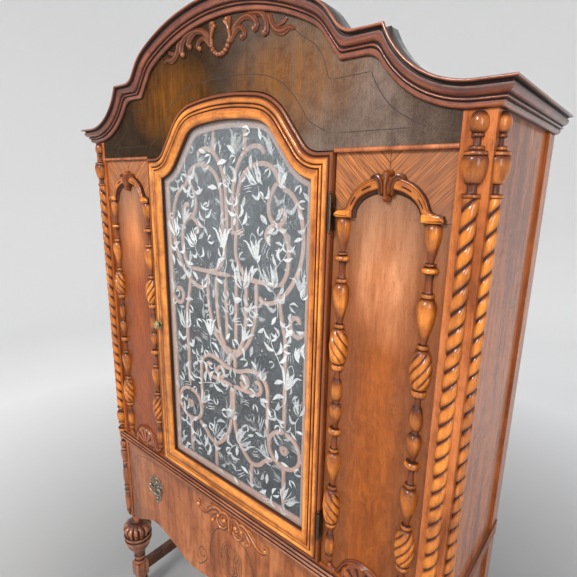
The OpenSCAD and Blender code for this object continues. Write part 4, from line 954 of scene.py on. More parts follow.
class CABINET_OT_columns(Maker, bpy.types.Operator):
    """Turns the rope columns on the posts: ball, rings and urn, a twisted shaft, rings and vase"""
    bl_idname, bl_label = "cabinet.columns", "Rope Columns"

    def make(self, sizes, colours):
        for name, side in SIDES:
            shape = Shape(f"{name}_column")
            self.column(shape, sizes, (side * POST_MID, 0), (0, -1), side, side * 0.2)
            shape.piece("case", "orange_walnut", "orange_carved", f"{name}_rope_column")
        shape = Shape("side_columns")
        for side in BOTH:
            self.column(shape, sizes, (side * HALF_W, POST_HALF), (side, 0), side, side * 0.7)
        shape.piece("case", "orange_walnut", "orange_carved", "side_rope_columns")

    def column(self, shape, sizes, centre, facing, side, seed):
        """The shaft's rows follow its grooves: the height at an angle is the row's height less
        side times pitch times the angle over half a turn, and the radius falls off as a power
        of one less the sine of the height over the pitch."""
        head, urn, base, wide = 46, 112, 84, 17
        top, foot = head - urn, CASE_FOOT + base
        turned(shape, members(URN_MEMBERS, urn, wide, age=0.24), centre, head, facing, seed=seed)
        turned(shape, members(BASE_MEMBERS, base, wide, age=0.1), centre, foot, facing, seed=seed)
        pitch, radius = sizes.rope_pitch * 1000, sizes.rope_radius * 1000
        a = np.linspace(0, math.pi, 25)
        row = np.arange(foot - pitch, top + pitch, pitch / 14)[:, None]
        z = np.clip(row - side * pitch * a / math.pi, foot, top)
        phase = (z / pitch + side * a / math.pi) % 1
        wave = 1 - np.sin(math.pi * phase)
        r = radius * (1.04 - sizes.rope_depth * wave ** 2.2)
        # Hollow in the grooves, for painted shade with old polish, and painted shade on the lower
        # side of each strand
        hollow = np.clip(wave ** 2.5 + 0.36 * np.exp(-(phase / 0.24) ** 2), 0, 1)
        grain = np.stack([r * np.cos(a), r * np.sin(a), z], -1)
        shape.grid(about(centre, facing, a, r, z), grain, hollow, seed=seed)


class CABINET_OT_turnings(Maker, bpy.types.Operator):
    """Turns the split turnings on the fixed panels and beside the drawer"""
    bl_idname, bl_label = "cabinet.turnings", "Split Turnings"

    def make(self, sizes, colours):
        """Their eggs carry reeds that lean to the left on a panel's left turning and to the
        right on its right one."""
        eggs, reeds, lean = (7, 18), 3, 0.15
        line = members(PANEL_MEMBERS, height=699, radius=18.3)
        for name, side in SIDES:
            shape = Shape(f"{name}_turnings")
            for x in (449, 294):
                way = 1 if side * (x - PANEL_MID) > 0 else -1
                turned(shape, line, (side * x, PANEL_FACE), ARCH_FOOT, (0, -1),
                    swirl(eggs, reeds, lean * way), seed=x * 0.01)
            shape.piece("case", "orange_walnut", "orange_carved", f"{name}_panel_turnings")
        shape = Shape("lower_split_turnings")
        top = WAIST_FOOT - 4
        line = members(LOWER_MEMBERS, height=top - POST_FOOT, radius=14)
        for side in BOTH:
            turned(shape, line, (side * POST_MID, 0), top, (0, -1), seed=side * 0.4)
        shape.piece("case", "panel_walnut", "leg_carved", "lower_turnings")


class CABINET_OT_legs(Maker, bpy.types.Operator):
    """Turns the front legs: cap, gadrooned melon in its cup, ringed neck, block and foot"""
    bl_idname, bl_label = "cabinet.legs", "Front Legs"

    def make(self, sizes, colours):
        """The cap's radius falls off as a power of the sine while its height falls as one less
        the cosine."""
        lobes = sizes.gadroons
        cap, bulb, neck, block, foot = 34, 133, 41, 54, 70
        bulb_top = POST_FOOT - cap
        neck_top = bulb_top - bulb
        block_top = neck_top - neck
        foot_top = block_top - block
        bulb_radius, neck_radius = 48, 21
        sweep = arc(0, 0, 1, 0, 90, 12)
        r = np.concatenate([[20], 26 - 12.96 * sweep[:, 0] ** 0.8, [13.4]])
        z = np.concatenate([[0], -cap * (1 - sweep[:, 1]), [-cap]])
        cap_line = (z, r, z * 0, z * 0, z * 0 + 0.1)

        def gadroon(z, a, part, t, r, hollow):
            """Lobes on the dome: the radius falls off where the sine of half the lobes times
            the angle is near zero, fading in below the neck."""
            wave = 1 - np.abs(np.sin(lobes / 2 * a))
            on = (part == 1) * np.clip(t * 5, 0, 1)
            # Hollow between the lobes, for painted shade with old polish
            return r * (1 - 0.15 * on * wave ** 1.8), hollow + on * wave ** 2.6 * 1.2

        for name, side in SIDES:
            shape = Shape(f"{name}_leg")
            centre, seed = (side * POST_MID, POST_HALF), side * 0.5
            turned(shape, cap_line, centre, POST_FOOT, seed=seed)
            turned(shape, members(BULB_MEMBERS, bulb, bulb_radius), centre, bulb_top,
                carve=gadroon, n=lobes * 10, seed=seed)
            turned(shape, members(NECK_MEMBERS, neck, neck_radius), centre, neck_top, seed=seed)
            turned(shape, members(FOOT_MEMBERS, foot, neck_radius), centre, foot_top, seed=seed)
            self.block(shape, centre, neck_radius, block_top, foot_top, seed)
            shape.piece("case", "orange_walnut", "leg_carved", f"{name}_front_leg")

    def block(self, shape, centre, half, top, foot, seed):
        """A square block: a superellipse of power fourteen, drawn in at both ends by a quarter
        circle."""
        edge, power = 4, 14
        a = np.linspace(0, TAU, 96, endpoint=False)
        s = (np.abs(np.cos(a)) ** power + np.abs(np.sin(a)) ** power) ** (-1 / power)
        e = np.linspace(0, math.pi / 2, 6)
        inset = np.concatenate([edge * (1 - np.sin(e)), edge * (1 - np.cos(e))])
        z = np.concatenate([top - edge * (1 - np.cos(e)), foot + edge * (1 - np.sin(e))])
        r = (half - inset)[:, None] * s
        p = np.stack([centre[0] + r * np.cos(a), centre[1] + r * np.sin(a), z[:, None] + 0 * a], -1)
        shape.grid(p, None, np.clip(inset / edge, 0, 1)[:, None] * 0.3, seed=seed)


# Corners of an arch's foot, from the panel's middle and from the foot of the arch
ARCH_CORNERS = np.array([(59, -.5), (90, -.5), (94.5, 2), (94, 6), (87, 10.8), (76, 12.4),
    (59, 12.4)])


class CABINET_OT_arches(Maker, bpy.types.Operator):
    """Shapes the oval arches over the panel turnings, with feet, slots and keystone plumes"""
    bl_idname, bl_label = "cabinet.arches", "Panel Arches"

    def make(self, sizes, colours):
        """Between an outer and an inner half oval, the height across the band follows the
        section, less a shallow slot in four places. The band flares out over its foot."""
        power, slot_depth = 0.92, 1.8
        profile = section(ARCH_SECTION, 6)
        a = np.linspace(0, math.pi, 181)[:, None]
        u, proud = profile[:, 0] / ARCH_BAND, profile[:, 1]
        slot = sum(np.exp(-((np.degrees(a) - b) / 8.5) ** 8) for b in (28, 60, 120, 152))
        slot = slot * np.exp(-((u - 0.47) / 0.055) ** 6)
        way = np.sign(np.cos(a))
        high = (66 - 26 * u) * np.clip(np.sin(a), 0, 1) ** power
        flare = 20 * (1 - u) ** 2 * np.exp(-np.clip(high - 11, 0, 60) / 2.2)
        across = (72.5 - 17 * u) * (way * np.abs(np.cos(a)) ** power) + flare * way
        grain = np.stack([ARCH_BAND * u + 0 * a, proud + 0 * a, 70 * a + 0 * u], -1)
        t = np.linspace(0, 1, 7)[:-1, None]
        foot = np.concatenate(
            [q + (r - q) * t for q, r in zip(ARCH_CORNERS, np.roll(ARCH_CORNERS, -1, 0))])
        shape = Shape("oval_arches")
        for side in BOTH:
            at = (side * PANEL_MID, ARCH_FOOT)
            p = np.empty(slot.shape + (3,))
            p[..., 0], p[..., 2] = at[0] + across, at[1] + high
            p[..., 1] = PANEL_FACE - (proud - slot_depth * slot)
            shape.grid(p, grain, np.clip(profile[:, 2] + slot * 1.2, -1, 1), seed=side)
            for end in BOTH:
                pillow(shape, foot * (end, 1) + at, 6.5, -5.4, 2.4, seed=end)
            self.keystone(shape, at)
        shape.piece("case", "orange_walnut", "orange_carved", "panel_arches")

    def keystone(self, shape, at):
        """A plume over two bosses: curled leaves at both sides of an upright one."""
        curl = [(6, 36), (9, 43), (9, 51), (12, 60), (19, 65), (24, 62), (22, 57)]
        for s in BOTH:
            leaf(shape, mirrored(s, curl), (8, 9, 10, 11, 12, 11, 8),
                (15, 18, 20, 20, 19, 16, 13), PANEL_FACE, at, flutes=1, seed=s, dark=0.42)
            leaf(shape, mirrored(s, [(5, 38), (5, 48), (7, 58), (12, 66)]), (5, 6, 7, 6),
                (14, 16, 16, 14), PANEL_FACE, at, seed=s, dark=0.42)
        leaf(shape, [(0, 31), (0, 42), (0, 54), (0, 66), (0, 75)], (11, 8, 9, 15, 16),
            (14, 16, 17, 17, 16), PANEL_FACE, at, m=11, dark=0.55)
        boss(shape, at[0], at[1] + 33, 6.5, 16, PANEL_FACE, dark=0.6)
        boss(shape, at[0], at[1] + 69, 8.5, 17, PANEL_FACE, dark=0.5)


# Right half of the rim over a shell, from the middle of the shell's foot
SHELL_RIM = [(77, 15), (67, 7), (57, 8), (49, 22), (38, 41), (20, 54)]


class CABINET_OT_shells(Maker, bpy.types.Operator):
    """Carves the fan shells at the feet of the fixed panels"""
    bl_idname, bl_label = "cabinet.shells", "Panel Shells"

    def make(self, sizes, colours):
        """Over angle and distance from the foot, the height is a dome cut by radial flutes, with a
        raised scalloped rim; a scroll closes each side."""
        lobes = 5.5
        shape = Shape("fan_shells")
        relief = sizes.relief * 1000
        a = np.linspace(0, math.pi, 153)[:, None]
        s = np.linspace(0, 1, 26)
        lobe = np.abs(np.cos(a * lobes - math.pi * lobes / 2))
        rim = np.exp(-((s - 0.9) / 0.07) ** 2)
        dome = 0.30 + 0.5 * np.sin(s * 2.2) * (0.45 + 0.55 * lobe) + 0.35 * rim
        rise = relief * dome * np.clip((1 - s) * 16, 0, 1) ** 0.5
        reach = 1 + 0.035 * (lobe - 1) * s
        flute = (1 - lobe) ** 1.5 * np.clip(s * 4, 0, 1) * (1 - rim)
        tone = np.clip(flute + (1 - np.clip(s * 5, 0, 1)) * 0.3, 0, 1)
        line = SHELL_RIM + [(0, 58)] + mirrored(-1, SHELL_RIM[::-1])
        width = (5, 7, 8, 9, 9, 9, 9, 9, 9, 9, 8, 7, 5)
        for side in BOTH:
            x, z = at = (side * PANEL_MID, CASE_FOOT)
            p = np.empty(rise.shape + (3,))
            p[..., 0] = x + 50 * s * reach * np.cos(a)
            p[..., 2] = z + 60 * s * reach * np.sin(a)
            p[..., 1] = PANEL_FACE + 0.2 - np.minimum(rise, relief)
            back = p[:, ::-1].copy()
            back[..., 1] = PANEL_FACE + 0.4
            shape.grid(np.concatenate([p, back], 1), None, np.concatenate([tone, 0 * tone], 1))
            leaf(shape, line, width, (relief * .8, relief, relief), PANEL_FACE, at, n=90, flutes=2)
            for end in BOTH:
                boss(shape, x + end * 74, z + 14, 4.5, relief, PANEL_FACE)
                leaf(shape, mirrored(end, [(12, 4), (26, 6), (38, 14), (43, 22)]), (7, 8, 7, 4),
                    (6, 7, 6), PANEL_FACE, at, flutes=1)
            leaf(shape, [(-14, 5), (0, 10), (14, 5)], (7, 11, 7), (7, 8, 7), PANEL_FACE, at,
                flutes=1)
        shape.piece("case", "panel_walnut", "panel_carved", "panel_shells")


# Carved strokes of a right half: points, widths, heights as parts of the relief, and flutes
FRIEZE_STROKES = [
    ([(27, -16), (36, -4), (48, 6), (60, 4), (67, -6), (62, -12), (57, -8)],
        (5, 9, 10, 8, 7, 6, 5), (.6, 1, 1, .8), 2),
    ([(33, -8), (40, 8), (56, 20), (74, 22), (90, 14), (97, 3), (93, -4), (88, 0)],
        (5, 9, 11, 11, 10, 8, 6), (.6, .9, 1, 1, .9), 2),
    ([(30, 2), (44, 16), (70, 24), (98, 22), (113, 14), (120, 0), (120, -12), (114, -15)],
        (5, 8, 8, 10, 11, 11, 10, 8), (.5, .7, .8, 1, 1, 1), 2),
    ([(118, 16), (128, 10), (133, -2), (142, -13), (158, -18), (172, -15), (186, -20)],
        (4, 8, 9, 11, 13, 9, 3), (.6, 1, 1, .9, .4), 2),
    ([(20, 20), (26, 28), (24, 10), (28, -2)], (5, 8, 8, 5), (.7, 1, .9), 1),
    ([(142, -12), (150, -6), (160, -4), (168, 2)], (4, 7, 6, 3), (.7, .8, .5), 1)]
FRIEZE_BOSSES = [(61, -10, 5), (91, -2, 5.5), (116, -13, 6.5), (20, 27, 5)]
DRAWER_STROKES = [
    ([(4, 14), (16, 22), (30, 17), (35, 4), (27, -6), (18, -1), (21, 8)],
        (9, 12, 12, 10, 9, 7, 5), (.8, 1, 1, .8), 1),
    ([(10, -8), (22, -20), (38, -18), (46, -4), (41, 8)], (8, 12, 12, 9, 6), (.7, 1, .8), 2),
    ([(30, 16), (46, 21), (62, 15), (74, 4), (88, -9), (103, -16), (118, -12), (127, -1),
        (123, 8), (116, 5)],
        (10, 14, 14, 12, 9, 8, 9, 10, 9, 8), (.8, 1, .9, .7, .6, .8, 1), 1),
    ([(44, 12), (58, 2), (68, -12), (63, -20)], (8, 13, 10, 5), (.8, 1, .7), 1),
    ([(56, 20), (70, 20), (82, 10), (90, 2)], (5, 9, 8, 4), (.7, .8, .5), 1)]
DRAWER_BOSSES = [(20, 4, 6), (43, 6, 5.5), (122, 0, 7), (64, -17, 5)]


class CABINET_OT_carvings(Maker, bpy.types.Operator):
    """Carves the open ring with leaf scrolls on the frieze and the scrolls on the drawer"""
    bl_idname, bl_label = "cabinet.carvings", "Carvings"

    def make(self, sizes, colours):
        """The ring lies under the leaves of the frieze, a narrow leaf over those of the
        drawer."""
        r = sizes.relief * 1000
        shape = Shape("frieze_crest")
        at = (0, CREST_MID)
        carved(shape, oval(26, 29, range(24, 337, 18)), (8, 6, 5, 5, 6, 8),
            (r * .8, r * .6, r * .45, r * .6, r * .8), 0, at, n=70)
        for x, z in oval(27, 30, range(111, 250, 17)):
            boss(shape, x, CREST_MID + z, 5.2, r, 0)
        self.scrolls(shape, FRIEZE_STROKES, r, 0, at)
        self.bosses(shape, FRIEZE_BOSSES, r, 0, at)
        shape.piece("case", "dark_walnut", "dark_carved", "frieze_carving")

        shape = Shape("drawer_crest")
        at = (0, -889)
        self.scrolls(shape, DRAWER_STROKES, r, DRAWER_FACE, at)
        carved(shape, [(0, 24), (0, 10), (0, -10), (0, -28)], (11, 14, 12, 6), (r, r, r * .8),
            DRAWER_FACE, at, flutes=2)
        self.bosses(shape, DRAWER_BOSSES, r, DRAWER_FACE, at)
        shape.piece("drawer", "panel_walnut", "crest_carved", "drawer_carving")

    def scrolls(self, shape, strokes, relief, face, at):
        """Carved strokes in both halves. One of many points takes more steps."""
        for points, width, height, flutes in strokes:
            carved(shape, points, width, [relief * part for part in height], face, at,
                n=44 if len(points) > 8 else 26, flutes=flutes, sides=BOTH)

    def bosses(self, shape, places, relief, face, at):
        """Round bosses in both halves."""
        for x, z, radius in places:
            boss(shape, x, at[1] + z, radius, relief, face, BOTH)


class CABINET_OT_waist(Maker, bpy.types.Operator):
    """Runs the three reeds of the waist moulding round the front and both sides"""
    bl_idname, bl_label = "cabinet.waist", "Waist Moulding"

    def make(self, sizes, colours):
        """Each point of the section runs round the case, moved out by its projection and
        mitred at the two front corners."""
        middle, pitch = (CASE_FOOT + WAIST_FOOT) / 2, 11
        rows = [(CASE_FOOT, 0, 0, .6), (CASE_FOOT, 2.2, 0, .6)]
        for z in (middle + pitch, middle, middle - pitch):
            rows += [(z + 4.8, 2.6, 0, .4), (z - 4.8, 2.6, 3.2, 0), (z - 5.5, 2.0, 0, .45)]
        profile = section(rows + [(WAIST_FOOT, 2.0, 0, .5), (WAIST_FOOT, 0, 0, .6)], 10)
        z, out = profile[:, 0], profile[:, 1]
        end = HALF_W + out
        x = np.linspace(-1, 1, 41)[:, None]
        front = np.stack([end * x, -out + 0 * x, z + 0 * x], -1)
        left, right = ([np.stack([side * end, 0 * z + BACK, z], -1)] for side in BOTH)
        run = np.concatenate([[-BACK], x[:, 0] * HALF_W + HALF_W, [2 * HALF_W + BACK]])[:, None]
        grain = np.stack([z + 0 * run, out + 0 * run, run + 0 * z], -1)
        shape = Shape("waist_reeds")
        shape.grid(np.concatenate([left, front, right]), grain, profile[:, 2] + 0 * run)
        side_bars(shape, thick=6, low=CASE_FOOT, high=WAIST_FOOT, front=44, back=336, hollow=0.0)
        shape.piece("case", "orange_walnut", "leg_carved", "waist_moulding")


# Right half of the lines: points, number of steps and, on the drawer, how many lines wide
FRIEZE_LINES = [
    ([(428, 31), (405, 41), (380, 55), (362, 70), (348, 88), (338, 104), (333, 115)], 40),
    ([(428, 31), (340, 31), (262, 31)], 6),
    ([(333, 115), (300, 114), (262, 113)], 8),
    ([(262, 113), (254, 118), (247, 138), (238, 156), (222, 172), (200, 186), (184, 198)], 40)]
DRAWER_LINES = [
    ([(85, -1040), (80, -990), (60, -940), (36, -922), (15, -917), (0, -915)], 40, 2),
    ([(97, -1045), (108, -1030), (124, -1032), (131, -1046), (122, -1060), (108, -1056),
        (108, -1046)], 40, 2),
    ([(160, -1090), (136, -1096), (115, -1080), (100, -1060), (96, -1046)], 30, 2),
    ([(447, -1080), (447, -1000), (447, -905)], 8, 1),
    ([(447, -905), (440, -897), (430, -894), (426, -884)], 12, 1),
    ([(426, -884), (380, -872), (300, -868), (200, -868)], 20, 1)]


class CABINET_OT_lines(Maker, bpy.types.Operator):
    """Lays the incised lines on the frieze and the drawer front"""
    bl_idname, bl_label = "cabinet.lines", "Incised Lines"

    def make(self, sizes, colours):
        """One line of the frieze follows the door's arch; ovals in one another and two winding
        stems lie in the middle of the drawer."""
        width = sizes.line_width * 1000
        shape = Shape("frieze_lines")
        arch = [(x, float(door_z(x, -30))) for x in np.linspace(0, 236, 15)][:-1] + [(262, 31)]
        for points, n in FRIEZE_LINES[:2] + [(arch, 60)] + FRIEZE_LINES[2:]:
            self.line(shape, points, width, 0, n)
        shape.piece("case", "dark_walnut", "incised_line")

        shape = Shape("drawer_lines")
        for points, n, times in DRAWER_LINES:
            self.line(shape, points, width * times, DRAWER_FACE, n)
        at, fine = (0, -1005), width * 1.3
        for k in range(6):
            r = 14 + 9.5 * k
            ring = oval(r * 0.62, r, range(14, 347, 12))
            self.line(shape, ring, fine, DRAWER_FACE, 50, at, (1,))
        for side in BOTH:
            for r in (16, 29):
                stem = [(0, -46), (r * 0.7, -24), (r * 0.5, 4), (r * 0.9, 30), (r * 0.4, 52)]
                self.line(shape, mirrored(side, stem), fine, DRAWER_FACE, 40, at, (1,))
        shape.piece("drawer", "panel_walnut", "inlaid_line")

    def line(self, shape, points, width, face, n, at=(0, 0), sides=BOTH):
        """A thin dark stroke that follows a curve through its points."""
        leaf(shape, points, (width, width), (0.35, 0.35), face, at, n=n, m=5, sides=sides,
            sunk=0.2, dark=1.0)


# Right half of a pull's plate, its strokes with their widths, and its bosses, all from the
# middle between the posts; a post's distance and radius; a bail's right half, down to its middle
PLATE = [(7, 18), (9, 10), (20, 6), (24, 0), (18, -8), (9, -12), (6, -26), (9, -38), (5, -50)]
PLATE_STROKES = [
    ([(2, 22), (12, 28), (20, 20), (14, 14)], (4, 6, 5, 3)),
    ([(12, 12), (24, 14), (31, 6), (26, 0)], (4, 6, 5, 3)),
    ([(28, -4), (24, -16), (14, -18), (12, -10)], (3, 5, 5, 3)),
    ([(4, -18), (14, -26), (18, -38), (10, -44), (6, -36)], (4, 6, 6, 5, 3)),
    ([(8, -44), (8, -54), (1, -58)], (4, 5, 3))]
PLATE_BOSSES = [
    (0, 24, 4), (0, 10, 5), (0, -30, 5), (0, -44, 4), (0, -55, 3), (8, 0, 3), (-8, 0, 3)]
POST_LINE = np.array([
    (0, 6.2), (1.2, 6.2), (2.4, 4.2), (3.2, 3.4), (6.2, 3.4), (7.2, 4.1), (11.2, 4.1),
    (12.4, 3.4), (13, 2.0), (13.2, 0.2)])
BAIL = [(16.2, 0), (24, 0), (26.8, -1.5), (27.6, -8), (25.6, -15), (19, -20), (10, -21.5)]


class CABINET_OT_pulls(Maker, bpy.types.Operator):
    """Casts the pull plates with their posts and the swinging bails"""
    bl_idname, bl_label = "cabinet.pulls", "Drawer Pulls"

    def make(self, sizes, colours):
        plates = Shape("cast_plates")
        for name, side in SIDES:
            x, z = at = (side * PULL_X, PULL_Z)
            tip = [(0, -54)]
            edge = curve(tip + mirrored(-1, PLATE[::-1]) + [(0, 22)] + PLATE + tip, 90)[:-1] + at
            pillow(plates, edge, DRAWER_FACE + 0.2, DRAWER_FACE - 1.6, 0.8, dark=0.75)
            for s in BOTH:
                for line, width in PLATE_STROKES:
                    leaf(plates, mirrored(s, line), width, (1.2, 2.0, 2.0, 1.2),
                        DRAWER_FACE - 1.4, at, n=20, m=7, flutes=1)
            for dx, dz, radius in PLATE_BOSSES:
                boss(plates, x + dx, z + dz, radius, 2.6, DRAWER_FACE - 1.2, n=14, m=5)
            out, r = POST_LINE[:, :1], POST_LINE[:, 1:]
            a = np.linspace(0, TAU, 28, endpoint=False)
            for s in BOTH:
                post = np.stack([x + s * 20 + r * np.cos(a), DRAWER_FACE - out + 0 * a,
                    z + r * np.sin(a)], -1)
                plates.grid(post, None, np.clip(0.7 - out / 8, 0, 1) + 0 * a)
            swing = Shape(f"{name}_swing")
            self.bail(swing, x, z)
            swing.piece(f"{name}_bail", "brass", "dark_brass", f"{name}_bail")
        plates.piece("drawer", "brass", "dark_brass", "pull_plates")

    def bail(self, shape, x, z):
        """A tube carried along a curve that hangs from both posts, with a swelling at its
        middle; its short pins run inwards into the posts."""
        axis, pin_radius, radius = -8, 1.4, 2.2
        line = curve(mirrored(-1, BAIL) + [(0, -21)] + BAIL[::-1], 91)
        t = np.linspace(-1, 1, len(line))
        step = directions(line)
        pin = (np.abs(line[:, 0]) < 24.4) & (np.abs(line[:, 1]) < 0.8)
        r = np.where(pin, pin_radius, radius) + 1.3 * np.exp(-(t / 0.10) ** 2)
        r *= 1 + 0.18 * np.exp(-((np.abs(t) - 0.22) / 0.03) ** 2)
        r = r[:, None]
        a = np.linspace(0, TAU, 16, endpoint=False)
        p = np.empty((len(line), len(a), 3))
        p[..., 0] = x + line[:, :1] - step[:, 1:] * r * np.cos(a)
        p[..., 2] = z + line[:, 1:] + step[:, :1] * r * np.cos(a)
        p[..., 1] = axis - r * np.sin(a)
        shape.grid(p, None, 0.15)


# Distance from the door, radius and hollow
KNOB_LINE = [
    (0, 10.4, 1), (1.4, 10.4, .4), (2.2, 8.8, .8), (3.0, 8.0, .1), (3.6, 4.6, 1), (6.4, 4.2, .9),
    (7.6, 5.8, .8), (8.8, 8.6, .3), (11.2, 10.2, 0), (13.4, 9.6, .2), (14.2, 7.4, .9),
    (15.0, 7.0, .2), (16.4, 4.4, .1), (17, 0.6, 0)]


class CABINET_OT_knob(Maker, bpy.types.Operator):
    """Casts the door knob: a lobed rose, a neck and a faceted oval knob"""
    bl_idname, bl_label = "cabinet.knob", "Door Knob"

    def make(self, sizes, colours):
        """Out from the door, the radius follows a curve through rows of distance, radius and
        hollow. Round the axis it falls off where the sine of four angles, on the rose, or of
        three, on the knob, is near zero, and the height is stretched."""
        stretch, rose_end = 1.18, 3.3
        low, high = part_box("door_knob")
        out, r, hollow = curve(KNOB_LINE, 70).T[..., None]
        a = np.linspace(0, TAU, 72, endpoint=False)
        rose = out < rose_end
        wave = np.where(rose, 1 - np.abs(np.sin(4 * a)), 1 - np.abs(np.sin(3 * a)))
        r = np.clip(r, 0.4, 20) * (1 - np.where(rose, 0.18, 0.10) * wave ** 1.5)
        p = np.stack([(low.x + high.x) * 500 + r * np.cos(a),
            high.y * 1000 - FACE_Y - out + 0 * a,
            (low.z + high.z) * 500 - BEAD_Z + stretch * r * np.sin(a)], -1)
        shape = Shape("cast_knob")
        shape.grid(p, None, np.clip(hollow + 0.5 * wave ** 3, 0, 1))
        shape.piece("door", "brass", "old_brass", "door_knob")


# Strokes of the print by their width along them, and the motifs made of them
STEM, BROAD = (0.8, 1.2, 0.8), (0.6, 4.4, 6.4, 4.0, 0.5)
PETAL, FINE = (0.8, 3.0, 4.4, 2.6, 0.6), (0.6, 1.3, 0.6)
TULIP = [
    ([(0, 0), (-12, 7), (-14, 22), (-19, 38)], PETAL),
    ([(0, 0), (12, 7), (14, 22), (20, 36)], PETAL),
    ([(-1, 2), (-7, 16), (-8, 36)], BROAD), ([(1, 2), (7, 16), (9, 33)], BROAD),
    ([(-11, 12), (-11, 22), (-14, 32)], FINE), ([(0, 8), (0, 22), (1, 34)], FINE),
    ([(0, 0), (-4, -18), (3, -44)], STEM), ([(-2, -14), (-14, -20), (-22, -8)], BROAD),
    ([(0, -28), (11, -30), (20, -16)], BROAD)]
LILY = [
    ([(0, -8), (-6, 4), (-13, 22), (-22, 28)], PETAL),
    ([(0, -8), (6, 4), (13, 20), (23, 24)], PETAL),
    ([(0, -6), (-2, 12), (-5, 28)], BROAD), ([(1, -6), (4, 12), (8, 26)], BROAD),
    ([(-5, 27), (1, 35), (8, 26)], FINE), ([(0, -8), (3, -26), (-6, -46)], STEM),
    ([(1, -20), (-12, -24), (-21, -38)], BROAD)]
ROSE = [
    ([(9 * math.sin(g) + 2 * math.sin(3 * g), 9 * math.cos(g)) for g in np.linspace(0, 5.6, 8)],
        PETAL),
    ([(4 * math.sin(g), 4 * math.cos(g)) for g in np.linspace(2, 7.4, 6)], FINE),
    ([(-9, 8), (-16, 14), (-20, 24)], BROAD), ([(9, 8), (16, 13), (19, 22)], BROAD),
    ([(-8, -8), (-14, -16), (-13, -26)], BROAD), ([(9, -6), (17, -10), (26, -8)], BROAD)]
SPRIG = [
    ([(-18, -26), (-8, -6), (2, 10), (6, 30)], STEM), ([(-13, -15), (-22, -8), (-27, 5)], BROAD),
    ([(-6, -3), (-16, 6), (-15, 20)], BROAD), ([(-2, 2), (9, 4), (20, 13)], BROAD),
    ([(4, 16), (-5, 22), (-6, 34)], PETAL), ([(5, 20), (14, 23), (20, 34)], PETAL)]
BLADE = [([(-8, -7), (0, 2), (6, 12)], (0.6, 5.6, 7.6, 4.4, 0.5))]
PAIR = [([(0, -9), (-5, 0), (-3, 10)], PETAL), ([(1, -9), (7, -2), (9, 6)], PETAL)]
DOTS = [
    ([(0, 0), (2, 1)], (3.6, 4.4, 3.4)), ([(8, 6), (10, 6)], (2.6, 3.2)),
    ([(-6, 8), (-5, 9)], (2.6, 3.2)), ([(3, 14), (4, 15)], (2.0, 2.6))]
HAIRS = [
    ([(-9, -8), (0, 0), (6, 9)], FINE), ([(-4, -10), (4, -2), (11, 5)], FINE),
    ([(-10, -1), (-3, 6), (0, 13)], FINE)]


class CABINET_OT_print(Maker, bpy.types.Operator):
    """Paints brush stroke flowers, leaves and dots on the front of the glass"""
    bl_idname, bl_label = "cabinet.print", "Glass Print"

    def make(self, sizes, colours):
        """Each motif is a set of tapering strokes, turned and scaled at the points of a staggered
        lattice: a wide one of flowers and a close one of leaves, dots and hairs. Strokes that
        would leave the clear glass are left out."""
        draw = np.random.default_rng(sizes.print_seed)
        face, half, foot, margin = 9.98, 219, -768, 53
        gap = sizes.print_spacing * 1000
        shape = Shape("flower_print")
        k = 0
        for motifs, step, loose, wide, lean in (
                ((TULIP, SPRIG, LILY, ROSE, SPRIG, TULIP, ROSE, LILY), gap, 14, 1.28, (-0.8, 0.8)),
                ((BLADE, DOTS, PAIR, BLADE, HAIRS, PAIR, DOTS), gap * 0.42, 9, 1.1, (0, TAU))):
            for row, z in enumerate(np.arange(-790, 95, step * 0.72)):
                for x in np.arange(-245 + (row % 2) * step / 2, 250, step):
                    k += 1
                    turn = draw.uniform(*lean)
                    size = draw.uniform(0.8, 1.2) * wide
                    flip, faint = draw.choice(BOTH), draw.uniform(0.1, 0.9)
                    spot = np.array([x, z]) + draw.uniform(-loose, loose, 2)
                    c, s = math.cos(turn) * size, math.sin(turn) * size
                    for stroke, width in motifs[(k * 5 + row) % len(motifs)]:
                        q = np.array(stroke, float) * (flip, 1) @ np.array([[c, s], [-s, c]]) + spot
                        q += draw.uniform(-0.8, 0.8, q.shape)
                        inside = (np.abs(q[:, 0]) < half) & (q[:, 1] > foot)
                        inside &= q[:, 1] < door_z(q[:, 0], margin)
                        if inside.all():
                            leaf(shape, q, np.array(width) * sizes.print_line * size, (0.2, 0.2),
                                face, n=11, m=5, sunk=0.02, dark=faint * draw.uniform(0.6, 1.0),
                                seed=k * 0.31)
        shape.piece("door", "glass", "white_print")


